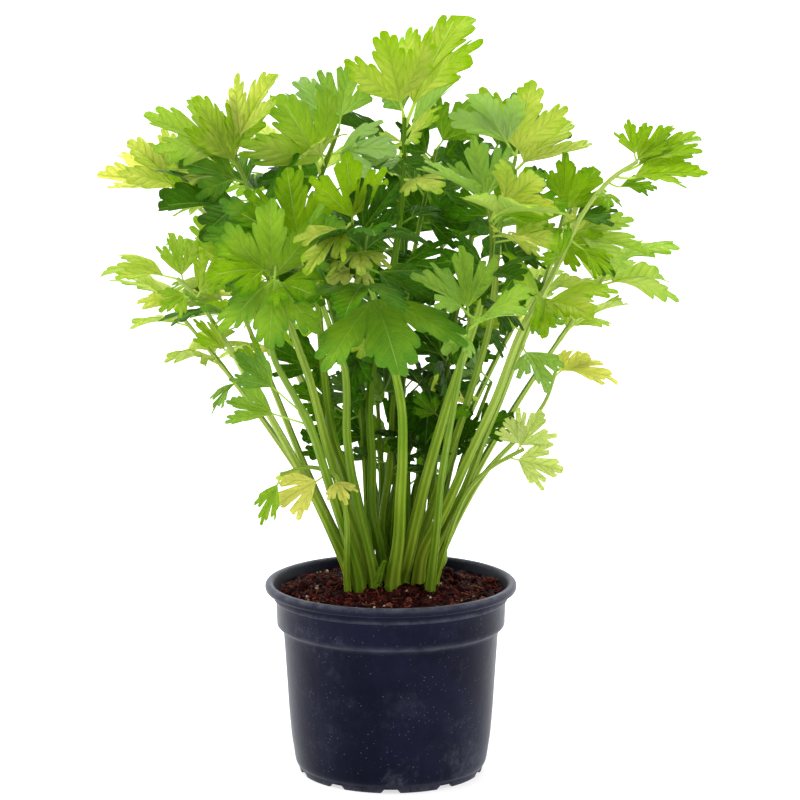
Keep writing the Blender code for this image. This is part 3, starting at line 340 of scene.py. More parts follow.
# Finer leaflets. Half the edge from the tip to the base: degrees off the midrib and reach
# of each tooth and of the notch after it. The notch that parts the lobes is the deep one.
LARGE_TEETH = (
    (0, 1.0), (5, 0.86), (9.5, 0.92), (13.5, 0.72), (17, 0.78), (21.5, 0.38), (25.5, 0.68), (29, 0.65),
    (32, 0.86), (36, 0.79), (40.5, 0.97), (45.5, 0.8), (50, 0.87), (54, 0.65), (58, 0.68), (62, 0.42))
SMALL_TEETH = (
    (0, 1.0), (7, 0.82), (13, 0.88), (21, 0.33), (30, 0.8), (36, 0.7), (42, 0.93), (48, 0.7), (53, 0.74),
    (60, 0.40))
LARGE_SLIT = 5
SMALL_SLIT = 3
# Between a tooth's tip and the notch: share of the way, and share of the drop
LARGE_ROUNDED = ((0.42, 0.04), (0.8, 0.27))
SMALL_ROUNDED = ((0.62, 0.1),)
NOTCH_DEPTH = (0.7, 1.25)
TOOTH_REACHES = (0.95, 1.04)
TOOTH_TURN = 0.6
SLIT_REACHES = (0.92, 1.3)
SLIT_OPENS = (0.3, 3.6)
LOBE_SIZES = (0.9, 1.08)
LOBE_TURNS = (-0.12, 0.14)
LOBE_TURNS_IN = 20.0
LOBE_AXES = (0.0, 40.0)
LARGE_RINGS = (0.1, 0.22, 0.34, 0.46, 0.58, 0.69, 0.79, 0.88, 0.95, 1.0)
SMALL_RINGS = (0.12, 0.27, 0.42, 0.57, 0.71, 0.84, 0.93, 1.0)
LARGE_FORM = (LARGE_TEETH, LARGE_SLIT, LARGE_ROUNDED, LARGE_RINGS)
SMALL_FORM = (SMALL_TEETH, SMALL_SLIT, SMALL_ROUNDED, SMALL_RINGS)
# How much of its thickness a blade loses to its edge, and limits of its folds and waves
EDGE_THINS = 0.45
CHANNEL = (0.1, 0.3)
CHANNEL_LEVEL = 0.17
WAVE = (0.02, 0.06)
WAVES = (2.2, 3.6)
TIP_DROOP = (-0.04, 0.14)
VEIN_SLANT = 1.3
RIB_SIDES = 6
LOBE_RIB = (0.03, 0.62)
# Radius of the ribs on a blade of this length, and how they slim and flare
STOUT_BLADE = 45.0
MIDRIB = 0.8
MIDRIB_SLIMS = 0.62
MIDRIB_FLARES = 0.25
SIDE_RIB = 0.42
SIDE_RIB_SLIMS = 0.28

# Finer stalks
STALK_ROUND = 24
RIDGES = 6
RIDGE = 0.075
GROOVE = 0.42
GROOVE_WIDE = 0.6
FLARE = 0.3
FLARE_REACH = 14.0
HEAD_SLIMS = 0.42
# How far sideways a stalk's head reaches before the painted light on its stalk is full
STALK_PAINTED_LIGHT_FROM = 110.0
JOINT_SWELL = 0.32
JOINT_REACH = 2.6
# A stalk whose head is nearer its foot than this counts as upright
UPRIGHT_WITHIN = 8.0
# Least distance from a shoot to the stalk that it starts in
LEAST_SPAN = 0.001

# Tones of the hidden fronds, and of those whose head leans out of the clump: the inner ones darker,
# partly as painted shade, the outer ones lighter as painted light
HIDDEN_TONE = (0.05, 0.4)
OUTER_HIDDEN_TONE = (0.6, 1.0)
OUTER_FROM = 75.0
# Painted bluish sheen, a painted reflection, on the hidden and small leaflets
PAINTED_SHEEN = (0.0, 0.2)
# Tone of a stalk, what it gains by leaning out, which is painted light (the inner stalks stay darker as
# painted shade), and how much it varies
STALK_TONE = 0.1
STALK_TONE_OUT = 0.5
STALK_TONE_VARIES = 0.35

# Finer pot: outside and inside as (radius, height), from the floor's underside round the lip
POT_OUTSIDE = (
    (0, 4.0), (30, 4.0), (44.6, 4.0), (45.0, 3.6), (45.2, 0.5), (45.6, 0.0), (47.0, 0.0), (47.4, 0.3),
    (47.7, 1.2), (47.8, 2.9), (48.2, 3.5), (48.9, 4.2), (49.5, 5.4), (49.9, 7.2), (50.2, 9.0),
    (50.7, 12.5), (51.7, 19.0), (52.9, 33.0), (53.7, 46.0), (54.6, 60.0), (55.4, 71.5), (55.6, 74.0),
    (55.8, 75.2), (56.3, 76.0), (57.2, 76.5), (58.2, 77.0), (58.8, 77.7), (59.0, 78.6), (59.0, 80.0),
    (59.2, 86.0), (59.4, 90.2), (59.6, 90.8), (60.2, 91.1), (60.6, 91.6), (60.6, 92.2), (60.3, 92.7),
    (60.2, 93.4), (60.3, 94.6), (60.8, 95.2), (62.0, 95.4), (63.6, 95.5), (64.5, 95.9), (64.9, 96.7),
    (65.0, 97.7), (64.8, 98.7), (64.2, 99.5), (63.3, 99.9), (62.3, 100.0), (61.5, 99.7), (60.9, 99.1),
    (60.5, 98.2), (60.1, 96.6), (59.5, 95.0), (59.1, 93.2))
POT_INSIDE = (
    (58.3, 86.0), (58.0, 80.2), (57.6, 78.9), (56.6, 77.9), (55.0, 76.9), (54.5, 75.8), (54.2, 72.0),
    (52.5, 46.0), (50.5, 19.0), (49.2, 10.0), (48.2, 6.4), (46.5, 5.2), (30, 5.2), (0, 5.2))
POT_ROUND = 180
# Scuffs at the front: place across and up, reach and strength
SCUFFS = ((-34, 71, 4, 0.8), (-4, 8, 11, 0.9), (22, 5, 7, 0.6), (38, 20, 9, 0.5))
# Rubbed edges, pale partly from wear and partly as painted highlight lines: height, reach and strength
WORN_AND_HIGHLIGHT = ((99.8, 1.6, 1.0), (91.9, 0.9, 0.8), (77.0, 1.5, 0.7), (1.0, 2.5, 0.6))
# Dust all over, at the foot (strength, reach) and on the ledge (strength, height, reach)
DUST_ALL = 0.3
DUST_FOOT = (0.6, 9.0)
DUST_LEDGE = (0.4, 80.0, 6.0)
# Painted shade on the inner wall above the peat: its top, how it fades there, and how near to the wall
# counts
INNER_SHADE_TOP = 99.6
INNER_SHADE_FADE = 2.0
WALL_SLACK = 0.4

# Camera: the picture's own viewpoint
CAMERA_AT = (0.0047, -1.6, 0.472)
CAMERA_PITCH = 9.84
CAMERA_LENS = 142.8

# Lights: name, place, size, the setting with its power, and its share of that
LIGHTS = (
    ("key_light", (-0.8, -0.5, 2.0), 1.0, "key", 1.0),
    ("fill_light", (1.6, -0.7, 0.9), 1.2, "fill", 1.0),
    ("rear_light", (0.3, 1.3, 1.5), 1.2, "key", 0.9),
    ("left_light", (-1.9, 0.6, 1.2), 0.9, "side", 1.0),
    ("right_light", (1.9, 0.5, 1.2), 0.9, "side", 1.3),
)
LIGHTS_AIM = 0.22

# Backdrop: radius of its curve, height of its wall, its sides and steps, in metres how far
# from the pot its dimmer glow, a painted shadow, ends, and where the front begins to darken
BACKDROP_BEND = 800.0
BACKDROP_TOP = 1700.0
BACKDROP_ROUND = 96
BACKDROP_STEPS = 12
SHADOW_GLOW_REACH = (0.06, 0.4)
FRONT_GLOW = (-1.7, -0.9)

# Finer compost: the bed's rings, wall and roughness, and sizes of what lies on it
BED_RINGS = 66
BED_ROUND = 190
BED_FLOOR = 5.6
BED_EDGE = 57.9
BED_REACH = BED_EDGE - 1.5
BED_DENSER = 0.55
BED_WALLS = ((0, BED_FLOOR), (45.8, BED_FLOOR), (48.6, 10.5), (53.8, 75.0), (57.0, 79.0),
             (BED_EDGE, 90.5))
CLOD_SIZE, CLOD_RISE = 7.0, 1.1
PIT_SIZE, PIT_RISE = 2.1, 0.7
TONE_SIZE = 11.0
CRUMB_SIZE = (-0.25, 0.45)
CRUMB_MOST = 2.6
CRUMB_FINE = 1.3
LUMP_SIDES = (0.6, 1.35)
LUMP_ROUGH = (0.82, 1.15)
# A fibre's turn, length, bend and lift
FIBRE_SHAPE = ((0.0, math.tau), (2.5, 9.0), (-0.6, 0.6), (0.3, 1.6))
FIBRE_R = (0.12, 0.36)
GRAIN_SIZE = (0.35, 1.0)

# Small leaflets between the others: heights they leave the stalks at, on stalks that stand
# deep in the clump, lean out or lean too far for any, and on some stalks by name
FILL_FROM = 212.0
FILL_DEEP_FROM = 150.0
FILL_DEEP_X = 16.0
FILL_DEEP_Y = 15.0
FILL_TO = 345.0
FILL_BELOW_HEAD = 14.0
FILL_OUT = 68.0
FILL_NONE = 95.0
FILL_OUT_REACH = (4.0, 26.0)
FILL_BETWEEN = {"frond_22": (225, 285), "frond_20": (230, 290), "frond_21": (190, 318),
                "frond_27": (180, 262), "frond_05": (262, 322), "frond_12": (225, 290)}
# Number tried on a stalk, how far they lean outward and rise, length and tones
FILL_MOST = 9
FILL_OUTWARD = 90.0
FILL_FACE = 1.1
FILL_TILT = (-0.4, 0.4)
FILL_RISE = (-0.35, 0.75)
FILL_LENGTH = (30.0, 46.0)
# Painted shade and light: the small leaflets are mostly dark, the outer ones more often bright
FILL_TONE = (0.0, 0.3)
FILL_BRIGHT = (0.65, 1.0)
FILL_BRIGHT_SHARE = (0.12, 0.45)

# Young shoots from beside a frond's foot: head, radius at the foot, and length of the leaflets
YOUNG = (
    ("frond_20", (-7, 24, 190), 2.1, 34), ("frond_21", (11, 28, 194), 2.1, 36),
    ("frond_23", (-22, 24, 184), 2.1, 32), ("frond_24", (39, 24, 187), 2.1, 32),
    ("frond_22", (22, 32, 174), 2.1, 36), ("frond_27", (3, 34, 160), 2.1, 32),
    ("frond_25", (34, 30, 162), 2.1, 30), ("frond_24", (52, 24, 200), 2.1, 30),
    ("frond_26", (-34, 28, 205), 2.1, 30), ("frond_21", (-2, 30, 215), 2.1, 34),
    ("frond_05", (-18, 22, 215), 2.1, 32), ("frond_15", (30, 18, 212), 2.1, 32),
    ("frond_06", (-3, -12, 113), 2.0, 0),
)
# Their leaflets: place along the shoot and degrees round it
YOUNG_SPRAY = ((1.0, 90), (0.98, 165), (0.97, 15), (0.74, 200), (0.72, -20))
YOUNG_BOW = 0.3
YOUNG_TURN = 25.0
YOUNG_RISE = (0.1, 1.3)
YOUNG_FACE = 0.3
YOUNG_TILT = (0.3, 0.8)
YOUNG_SIZES = (0.85, 1.15)
# Dark tones of the shoots' leaflets: painted shade deep in the clump
YOUNG_TONE = (0.1, 0.4)

# What the points of a piece carry to its materials
VALUES = ("tone", "pallor", "under", "across", "along", "rim")


def soil_height(x, y):
    """The compost's surface: a low mound round the stems, with lumps."""
    r = math.hypot(x, y - MOUND_Y)
    lumps = math.sin(0.31 * x + 1.1) * math.cos(0.27 * y) + 0.6 * math.sin(0.63 * x - 0.52 * y)
    return SOIL_EDGE_Z + SOIL_MOUND * math.exp(-(r / MOUND_REACH) ** 2) + LUMP * lumps


def spread_feet(feet, radii):
    """Moves the feet apart until each has a hole of its own with compost between."""
    feet = np.array(feet, float)
    reach = np.array(radii) + HOLE_GAP
    for _ in range(SPREAD_ROUNDS):
        apart = feet[:, None] - feet[None]
        span = np.linalg.norm(apart, axis=2)
        np.fill_diagonal(span, np.inf)
        short = np.maximum(reach[:, None] + reach[None] + FEET_WEB - span, 0)
        feet = feet + 0.5 * (apart / span[..., None] * short[..., None]).sum(axis=1)
    return feet


def through(points):
    """A stalk's way: evenly spaced points on a smooth curve through the given ones."""
    p = np.array(points, float)
    p = np.vstack([2 * p[0] - p[1], p, 2 * p[-1] - p[-2]])
    t = np.concatenate([[0], np.cumsum(np.linalg.norm(np.diff(p, axis=0), axis=1) ** 0.5)])
    dense = []
    for k in range(1, len(p) - 2):
        h = t[k + 1] - t[k]
        m0 = slope(p, t, k) * h
        m1 = slope(p, t, k + 1) * h
        u = np.linspace(0, 1, CURVE_STEPS, endpoint=False)[:, None]
        dense.append((2 * u**3 - 3 * u**2 + 1) * p[k] + (u**3 - 2 * u**2 + u) * m0
                     + (3 * u**2 - 2 * u**3) * p[k + 1] + (u**3 - u**2) * m1)
    dense = np.vstack(dense + [p[-2:-1]])
    run = np.concatenate([[0], np.cumsum(np.linalg.norm(np.diff(dense, axis=0), axis=1))])
    at = np.linspace(0, run[-1], STALK_STEPS)
    return np.stack([np.interp(at, run, dense[:, axis]) for axis in range(3)], axis=1)


def slope(p, t, k):
    """The curve's slope at its kth point, which stands at t[k] along it."""
    return ((p[k] - p[k - 1]) / (t[k] - t[k - 1]) - (p[k + 1] - p[k - 1]) / (t[k + 1] - t[k - 1])
            + (p[k + 1] - p[k]) / (t[k + 1] - t[k]))


def length_of(way):
    """Length of a stalk along its points."""
    return np.linalg.norm(np.diff(way, axis=0), axis=1).sum()


def bowed(foot, head, bow):
    """The way of a stalk that leaves the clump upright and leans out as it rises."""
    base = np.array([foot[0], foot[1], SOIL_TOP])
    way = np.array(head, float) - base
    return [tuple(base + way * (f ** (1 + bow), f ** (1 + bow), f)) for f in BOW_HEIGHTS]


def stalk_radius(girth, share):
    """Radius along a stalk: a sheath at the foot, slim at the head."""
    slim = girth + (HEAD_R - girth) * share ** SLIMS
    return max(slim, HEAD_R)


def radii_along(girth):
    """Radius of a stalk at each of its points."""
    return np.array([stalk_radius(girth, share) for share in SHARES])


def parted(way, other, radii, wide, least=0.0):
    """The steps that would part each point of a stalk from each of another."""
    apart = way[:, None] - other[None]
    span = np.linalg.norm(apart, axis=2) + least
    short = radii[:, None] + wide[None] + STALK_CLEAR - span
    return apart / span[..., None] * np.maximum(short, 0)[..., None]


def smoothed(shift):
    """Evens out, in place, how far the points along a stalk are moved."""
    low, mid, high = shift[..., :-2, :], shift[..., 1:-1, :], shift[..., 2:, :]
    shift[..., 1:-1, :] = 0.25 * low + 0.5 * mid + 0.25 * high


def settle(ways, girths):
    """Bends the stalks clear of each other, smoothly, keeping their feet."""
    start = np.array(ways)
    shift = np.zeros_like(start)
    radii = [radii_along(girth) for girth in girths]
    free = np.clip((start[:, :, 2] - SOIL_TOP) / FREE_ABOVE, 0, 1)[..., None]
    for _ in range(SETTLE_ROUNDS):
        now = start + shift
        push = np.zeros_like(start)
        for i, j in combinations(range(len(now)), 2):
            steps = parted(now[i], now[j], radii[i], radii[j])
            if steps.any():
                push[i] += 0.5 * largest(steps, 1)
                push[j] -= 0.5 * largest(steps, 0)
        shift += push
        for _ in range(SMOOTHINGS):
            smoothed(shift)
        shift *= free
    return start + shift


def largest(vectors, axis):
    """The longest of the vectors along one axis of a table of them."""
    size = np.linalg.norm(vectors, axis=2)
    best = np.expand_dims(size.argmax(axis=axis), (axis, 2))
    return np.take_along_axis(vectors, best, axis=axis).squeeze(axis)


def eased(way, girth, ways, girths):
    """Bends a young shoot clear of the stalks round it, keeping its foot."""
    radii = radii_along(girth)
    stout = [radii_along(wide) for wide in girths]
    free = np.clip((way[:, 2] - way[0][2]) / FREE_ABOVE, 0, 1)[:, None]
    shift = np.zeros_like(way)
    for _ in range(SETTLE_ROUNDS):
        for other, wide in zip(ways, stout):
            steps = parted(way + shift, other, radii, wide, LEAST_SPAN)
            if steps.any():
                shift += largest(steps, 1) * free
        smoothed(shift)
        shift *= free
    return way + shift


def at_share(way, share):
    """Point and direction on a stalk at a share of its length."""
    place = share * (len(way) - 1)
    k = min(int(place), len(way) - 2)
    run = way[k + 1] - way[k]
    return Vector(way[k] + run * (place - k)), Vector(run).normalized()


def ring_shares(way):
    """Where along a stalk its rings stand: two in its hole, the rest up to the head."""
    return (0.0, (SOIL_TOP + 0.5 - way[0][2]) / length_of(way)) + STALK_RINGS


def on_stalk(way, share):
    """Point on the straight runs between a stalk's rings, and the direction there."""
    shares = ring_shares(way)
    k = max(n for n in range(len(shares) - 1) if shares[n] <= share)
    low, high = at_share(way, shares[k])[0], at_share(way, shares[k + 1])[0]
    part = (share - shares[k]) / (shares[k + 1] - shares[k])
    return low.lerp(high, part), (high - low).normalized()


def stalk_mesh(way, girth):
    """A tapered tube: upright in its hole, then along the way to the head."""
    points, rings = [], []
    shares = ring_shares(way)
    for share in shares:
        centre, run = at_share(way, share)
        if share <= shares[1]:
            run = UP
        side = Vector((0, 1, 0)).cross(run).normalized()
        front = run.cross(side)
        r = stalk_radius(girth, share)
        rings.append(range(len(points), len(points) + STALK_SIDES))
        for k in range(STALK_SIDES):
            a = math.tau * k / STALK_SIDES
            points.append(centre + side * r * math.cos(a) + front * r * math.sin(a))
    return points, [tuple(rings[0])[::-1], tuple(rings[-1])] + ring_faces(rings)


@dataclass
class Leaflet:
    """Where a leaflet sits and how its blade folds along the midrib and curls to its tip."""

    root: Vector
    tip: Vector
    face: Vector
    breadth: float
    fold: float
    curl: float
    neck: float
    seed: int

    def frame(self):
        """The blade's directions ahead, up and to the side, with its bend and its radius."""
        along = self.tip - self.root
        ahead = along.normalized()
        up = (self.face - ahead * self.face.dot(ahead)).normalized()
        bend = math.radians(self.curl)
        return ahead, up, ahead.cross(up), bend, along.length / (2 * math.sin(bend / 2))

    def turned(self, yaw, pitch, size):
        """The same leaflet swung about its root and resized, to clear what it met."""
        ahead, up, side = self.frame()[:3]
        swung = ahead + side * math.tan(math.radians(yaw)) + up * math.tan(math.radians(pitch))
        length = (self.tip - self.root).length
        return replace(self, tip=self.root + swung.normalized() * length * size)

    def place(self, s, t):
        """Middle of the blade, s (0 to 1) along its midrib and t mm across, and its normal."""
        ahead, up, side, bend, radius = self.frame()
        lean = bend / 2 - s * bend
        rise = -ahead * math.sin(lean) + up * math.cos(lean)
        point = self.root + ahead * radius * (math.sin(bend / 2) - math.sin(lean))
        point = point + up * radius * (math.cos(lean) - math.cos(bend / 2))
        fold = math.radians(self.fold)
        hang = abs(t) * math.sin(fold) - CUP * t * t
        point = point + side * t * math.cos(fold) + rise * hang
        if not t:
            return point, rise
        return point, rise * math.cos(fold) - side * math.copysign(math.sin(fold), t)

    def run(self):
        """Length of the blade along its midrib."""
        bend, radius = self.frame()[3:]
        return radius * bend


def half_edge(leaf):
    """The edge's teeth and notches on one side, as (share along the midrib, mm across)."""
    draw = random.Random(leaf.seed)
    length = leaf.run()
    edge = SMALL_EDGE if length < SMALL_BLADE else LARGE_EDGE
    blade = length * (1 - leaf.neck)
    made = []
    for degrees, reach in edge:
        a = math.radians(degrees)
        r = reach * blade * draw.uniform(1 - EDGE_VARIES, 1 + EDGE_VARIES)
        made.append((leaf.neck + r * math.cos(a) / length, r * math.sin(a) * leaf.breadth))
    return made


def blade_mesh(leaf, thick):
    """A lobed leaflet as a thin closed solid, both faces split alike."""
    right = half_edge(leaf)
    flat = [(0.0, -ROOT_W / 2), (0.0, ROOT_W / 2), (leaf.neck, NECK_W / 2)] + right + [(1.0, 0.0)]
    flat += [(s, -t) for s, t in reversed(right)] + [(leaf.neck, -NECK_W / 2)]
    edge = list(range(len(flat)))
    n = len(right)
    rib = len(flat)
    flat.append((RIB_AT + (1 - RIB_AT) * leaf.neck, 0.0))
    tip = 3 + n
    halves = []
    for sign in (1, -1):
        at = [(3 + k) if sign > 0 else (tip + n - k) for k in range(n)]
        base = 2 if sign > 0 else edge[-1]
        fan = [(base, at[0], at[1])]
        fan += [(at[k - 1], at[k], at[k + 1]) for k in range(2, n, 2)]
        inner = [base] + at[1::2] + [tip]
        fan += [(a, b, rib) for a, b in zip(inner, inner[1:])]
        halves += fan if sign > 0 else [face[::-1] for face in fan]
    halves += [(0, 1, 2), (0, 2, edge[-1]), (edge[-1], 2, rib)]
    spots = [leaf.place(s, t) for s, t in flat]
    half = thick / 2
    mitre = 1 / math.cos(math.radians(leaf.fold))
    lifts = [half * (mitre if t == 0 else 1.0) for s, t in flat]
    top = [p + normal * lift for (p, normal), lift in zip(spots, lifts)]
    low = [p - normal * lift for (p, normal), lift in zip(spots, lifts)]
    k = len(flat)
    faces = halves + [tuple(v + k for v in face[::-1]) for face in halves]
    for a, b in zip(edge, edge[1:] + edge[:1]):
        faces.append((b, a, a + k))
        faces.append((b, a + k, b + k))
    return top + low, faces


def grown(draw, root, tip, face, shape):
    """A leaflet with its breadth, fold, curl and, where the shape has limits for it, neck drawn."""
    breadth, fold, curl, *neck = [draw.uniform(*limits) for limits in shape]
    return Leaflet(root, tip, face, breadth, fold, curl, *(neck or [NECK_SHARE]), draw.randrange(SEEDS))


def sprayed(way, size, seed):
    """Leaflets for a frond whose own are hidden: a head of three and a pair below."""
    draw = random.Random(seed)
    made = []
    for share, degrees, length, droop in SPRAY:
        root, run = on_stalk(way, share)
        out = Vector((root.x, root.y - MOUND_Y, 0)).normalized()
        side = run.cross(UP).normalized()
        a = math.radians(degrees + draw.uniform(-SPRAY_TURN, SPRAY_TURN))
        droop += draw.uniform(-SPRAY_DROOP, SPRAY_DROOP)
        ahead = run * math.cos(a) + side * math.sin(a) - Vector((0, 0, droop)) + out * SPRAY_OUT
        root -= run
        tip = root + ahead.normalized() * length * size * draw.uniform(*SPRAY_SIZES)
        face = Vector((draw.uniform(*SPRAY_TILT), draw.uniform(*SPRAY_TILT), 1)) + out * SPRAY_FACE
        made.append(grown(draw, root, tip, face, SPRAY_SHAPE))
    return made


def leaf_shares(way, leaves):
    """Where a table's leaflets leave the stalk: those of its head follow one another."""
    length = length_of(way)
    return [min(row[0], 1 - k * HEAD_STEP / length) for k, row in enumerate(leaves)]


def chosen(way, leaves, seed):
    """The leaflets of the table."""
    made = []
    for k, (share, row) in enumerate(zip(leaf_shares(way, leaves), leaves)):
        root, run = on_stalk(way, share)
        tip, face = Vector(row[1]), Vector(row[2])
        neck = row[8] if len(row) > 8 else NECK_SHARE
        made.append(Leaflet(root - run, tip, face, *row[3:6], neck, seed * 100 + k))
    return made


def swings(leaf):
    """The leaflet, then the same turned and resized ever more, to try where it meets another."""
    yield leaf
    for size in SWING_SIZES:
        for reach in SWING_REACHES:
            for k in range(SWING_WAYS):
                a = math.tau * k / SWING_WAYS
                yield leaf.turned(reach * math.cos(a), reach * math.sin(a), size)


def tree(points, faces):
    """A mesh to search for overlaps."""
    return BVHTree.FromPolygons([tuple(p) for p in points], [tuple(f) for f in faces])


def blade_tree(leaf, thick=BLADE_T):
    """The blade to search for overlaps."""
    return tree(*blade_mesh(leaf, thick))


def stalk_trees(ways, girths):
    """The stalks to search for overlaps, each a little stouter than it is."""
    return [tree(*stalk_mesh(way, girth + BLADE_CLEAR)) for way, girth in zip(ways, girths)]


def outer_share(leaf):
    """The blade past its neck, which keeps off its own frond too."""
    points, faces = blade_mesh(leaf, BLADE_T)
    near = {k for k, p in enumerate(points) if (p - leaf.root).length < OWN_SHARE * leaf.run()}
    return tree(points, [f for f in faces if not near & set(f)])


def cleared(leaf, blockers, own, thick=BLADE_T):
    """The leaflet clear of the blockers and, past its neck, of its own frond, or None."""
    for trial in swings(leaf):
        wide = blade_tree(trial, thick)
        if any(wide.overlap(other) for other in blockers):
            continue
        outer = outer_share(trial)
        if not any(outer.overlap(other) for other in own):
            return trial
    return None


def place_leaflets(ways, girths, leaflets):
    """Bends each leaflet clear of other fronds and of its neighbours on its own."""
    stalks = stalk_trees(ways, girths)
    placed, blades = [], []
    for i, wanted in enumerate(leaflets):
        others = stalks[:i] + stalks[i + 1:] + blades
        kept, own = [], [stalks[i]]
        for leaf in wanted:
            leaf = cleared(leaf, others, own, BLADE_T + 2 * BLADE_CLEAR)
            if leaf:
                kept.append(leaf)
                own.append(outer_share(leaf))
        placed.append(kept)
        blades += [blade_tree(leaf) for leaf in kept]
    return placed


def plan():
    """Names, settled stalk ways, girths and placed leaflets of all fronds."""
    names = list(FRONDS) + list(HIDDEN)
    rows = [*FRONDS.values(), *HIDDEN.values()]
    girths = [row[1] for row in rows]
    feet = spread_feet([row[0] for row in rows], girths)
    ways = []
    for name, row, (x, y) in zip(names, rows, feet):
        above = row[2] if name in FRONDS else bowed((x, y), *row[2:4])
        start = [(x, y, HOLE_FLOOR + GAP), (x, y, SOIL_TOP), (x * 1.02, y, SOIL_TOP + 4)]
        ways.append(through(start + list(above)))
    ways = settle(ways, girths)
    leaflets = []
    for k, (name, row, way) in enumerate(zip(names, rows, ways)):
        leaflets.append(chosen(way, row[3], k) if name in FRONDS else sprayed(way, row[4], SEED + k))
    return names, ways, girths, place_leaflets(ways, girths, leaflets)


def add_node(tree, kind, inputs=None, **settings):
    """A shader node with its settings and its inputs, each a number, a colour or an output."""
    node = tree.nodes.new("ShaderNode" + kind)
    for key, value in settings.items():
        setattr(node, key, value)
    for key, value in (inputs or {}).items():
        if isinstance(value, bpy.types.NodeSocket):
            tree.links.new(value, node.inputs[key])
        else:
            node.inputs[key].default_value = value
    return node


class Finish:
    """One procedural material, built from a few named steps."""

    def __init__(self, name):
        self.made = bpy.data.materials.new(name)
        self.made.use_nodes = True
        self.tree = self.made.node_tree
        self.tree.nodes.clear()
        self.place = add_node(self.tree, "TexCoord").outputs["Object"]

    def value(self, name):
        return add_node(self.tree, "Attribute", attribute_name=name).outputs["Fac"]

    def math(self, operation, *inputs, clamp=False):
        node = add_node(self.tree, "Math", dict(enumerate(inputs)), operation=operation, use_clamp=clamp)
        return node.outputs[0]

    def times(self, first, second):
        return self.math("MULTIPLY", first, second)

    def plus(self, first, second):
        return self.math("ADD", first, second)

    def most(self, first, second, clamp=False):
        return self.math("MAXIMUM", first, second, clamp=clamp)

    def spread(self, value, width):
        """The value, 0 to 1, spread over the width with 0 in its middle."""
        return self.math("MULTIPLY_ADD", value, width, -width / 2)

    def fade(self, value, start, end, low=0.0, high=1.0):
        """low to high as the value goes from start to end."""
        inputs = {"Value": value, "From Min": start, "From Max": end, "To Min": low, "To Max": high}
        return add_node(self.tree, "MapRange", inputs, interpolation_type="SMOOTHSTEP").outputs[0]

    def mix(self, share, first, second):
        """The first colour with a share of the second; each is three numbers or an output."""
        first, second = (side if isinstance(side, bpy.types.NodeSocket) else (*side, 1.0)
                         for side in (first, second))
        # The node's sockets 6 and 7 are its two colours
        return add_node(self.tree, "Mix", {0: share, 6: first, 7: second}, data_type="RGBA").outputs[2]

    def noise(self, scale, detail=3.0, roughness=0.55, stretch=None):
        place = self.place
        if stretch:
            place = add_node(self.tree, "Mapping", {"Vector": place, "Scale": stretch}).outputs[0]
        inputs = {"Vector": place, "Scale": scale, "Detail": detail, "Roughness": roughness}
        return add_node(self.tree, "TexNoise", inputs).outputs[0]

    def cells(self, scale, feature="F1"):
        node = add_node(self.tree, "TexVoronoi", {"Vector": self.place, "Scale": scale}, feature=feature)
        return node.outputs["Distance"]

    def ramp(self, value, stops):
        node = add_node(self.tree, "ValToRGB", {0: value})
        band = node.color_ramp
        while len(band.elements) < len(stops):
            band.elements.new(0.5)
        for element, (place, colour) in zip(band.elements, stops):
            element.position = place
            element.color = (*colour, 1.0)
        return node.outputs[0]

    def bump(self, height, distance):
        inputs = {"Height": height, "Distance": distance, "Strength": 1.0}
        return add_node(self.tree, "Bump", inputs).outputs[0]

    def done(self, inputs, translucent=None, share=0.0):
        """Ends the material in its shader, mixed with light that passes through."""
        shader = add_node(self.tree, "BsdfPrincipled", inputs).outputs[0]
        if translucent is not None:
            through_it = {"Color": translucent, "Normal": inputs["Normal"]}
            passed = add_node(self.tree, "BsdfTranslucent", through_it).outputs[0]
            shader = add_node(self.tree, "MixShader", {0: share, 1: shader, 2: passed}).outputs[0]
        add_node(self.tree, "OutputMaterial", {0: shader})
        return self.made


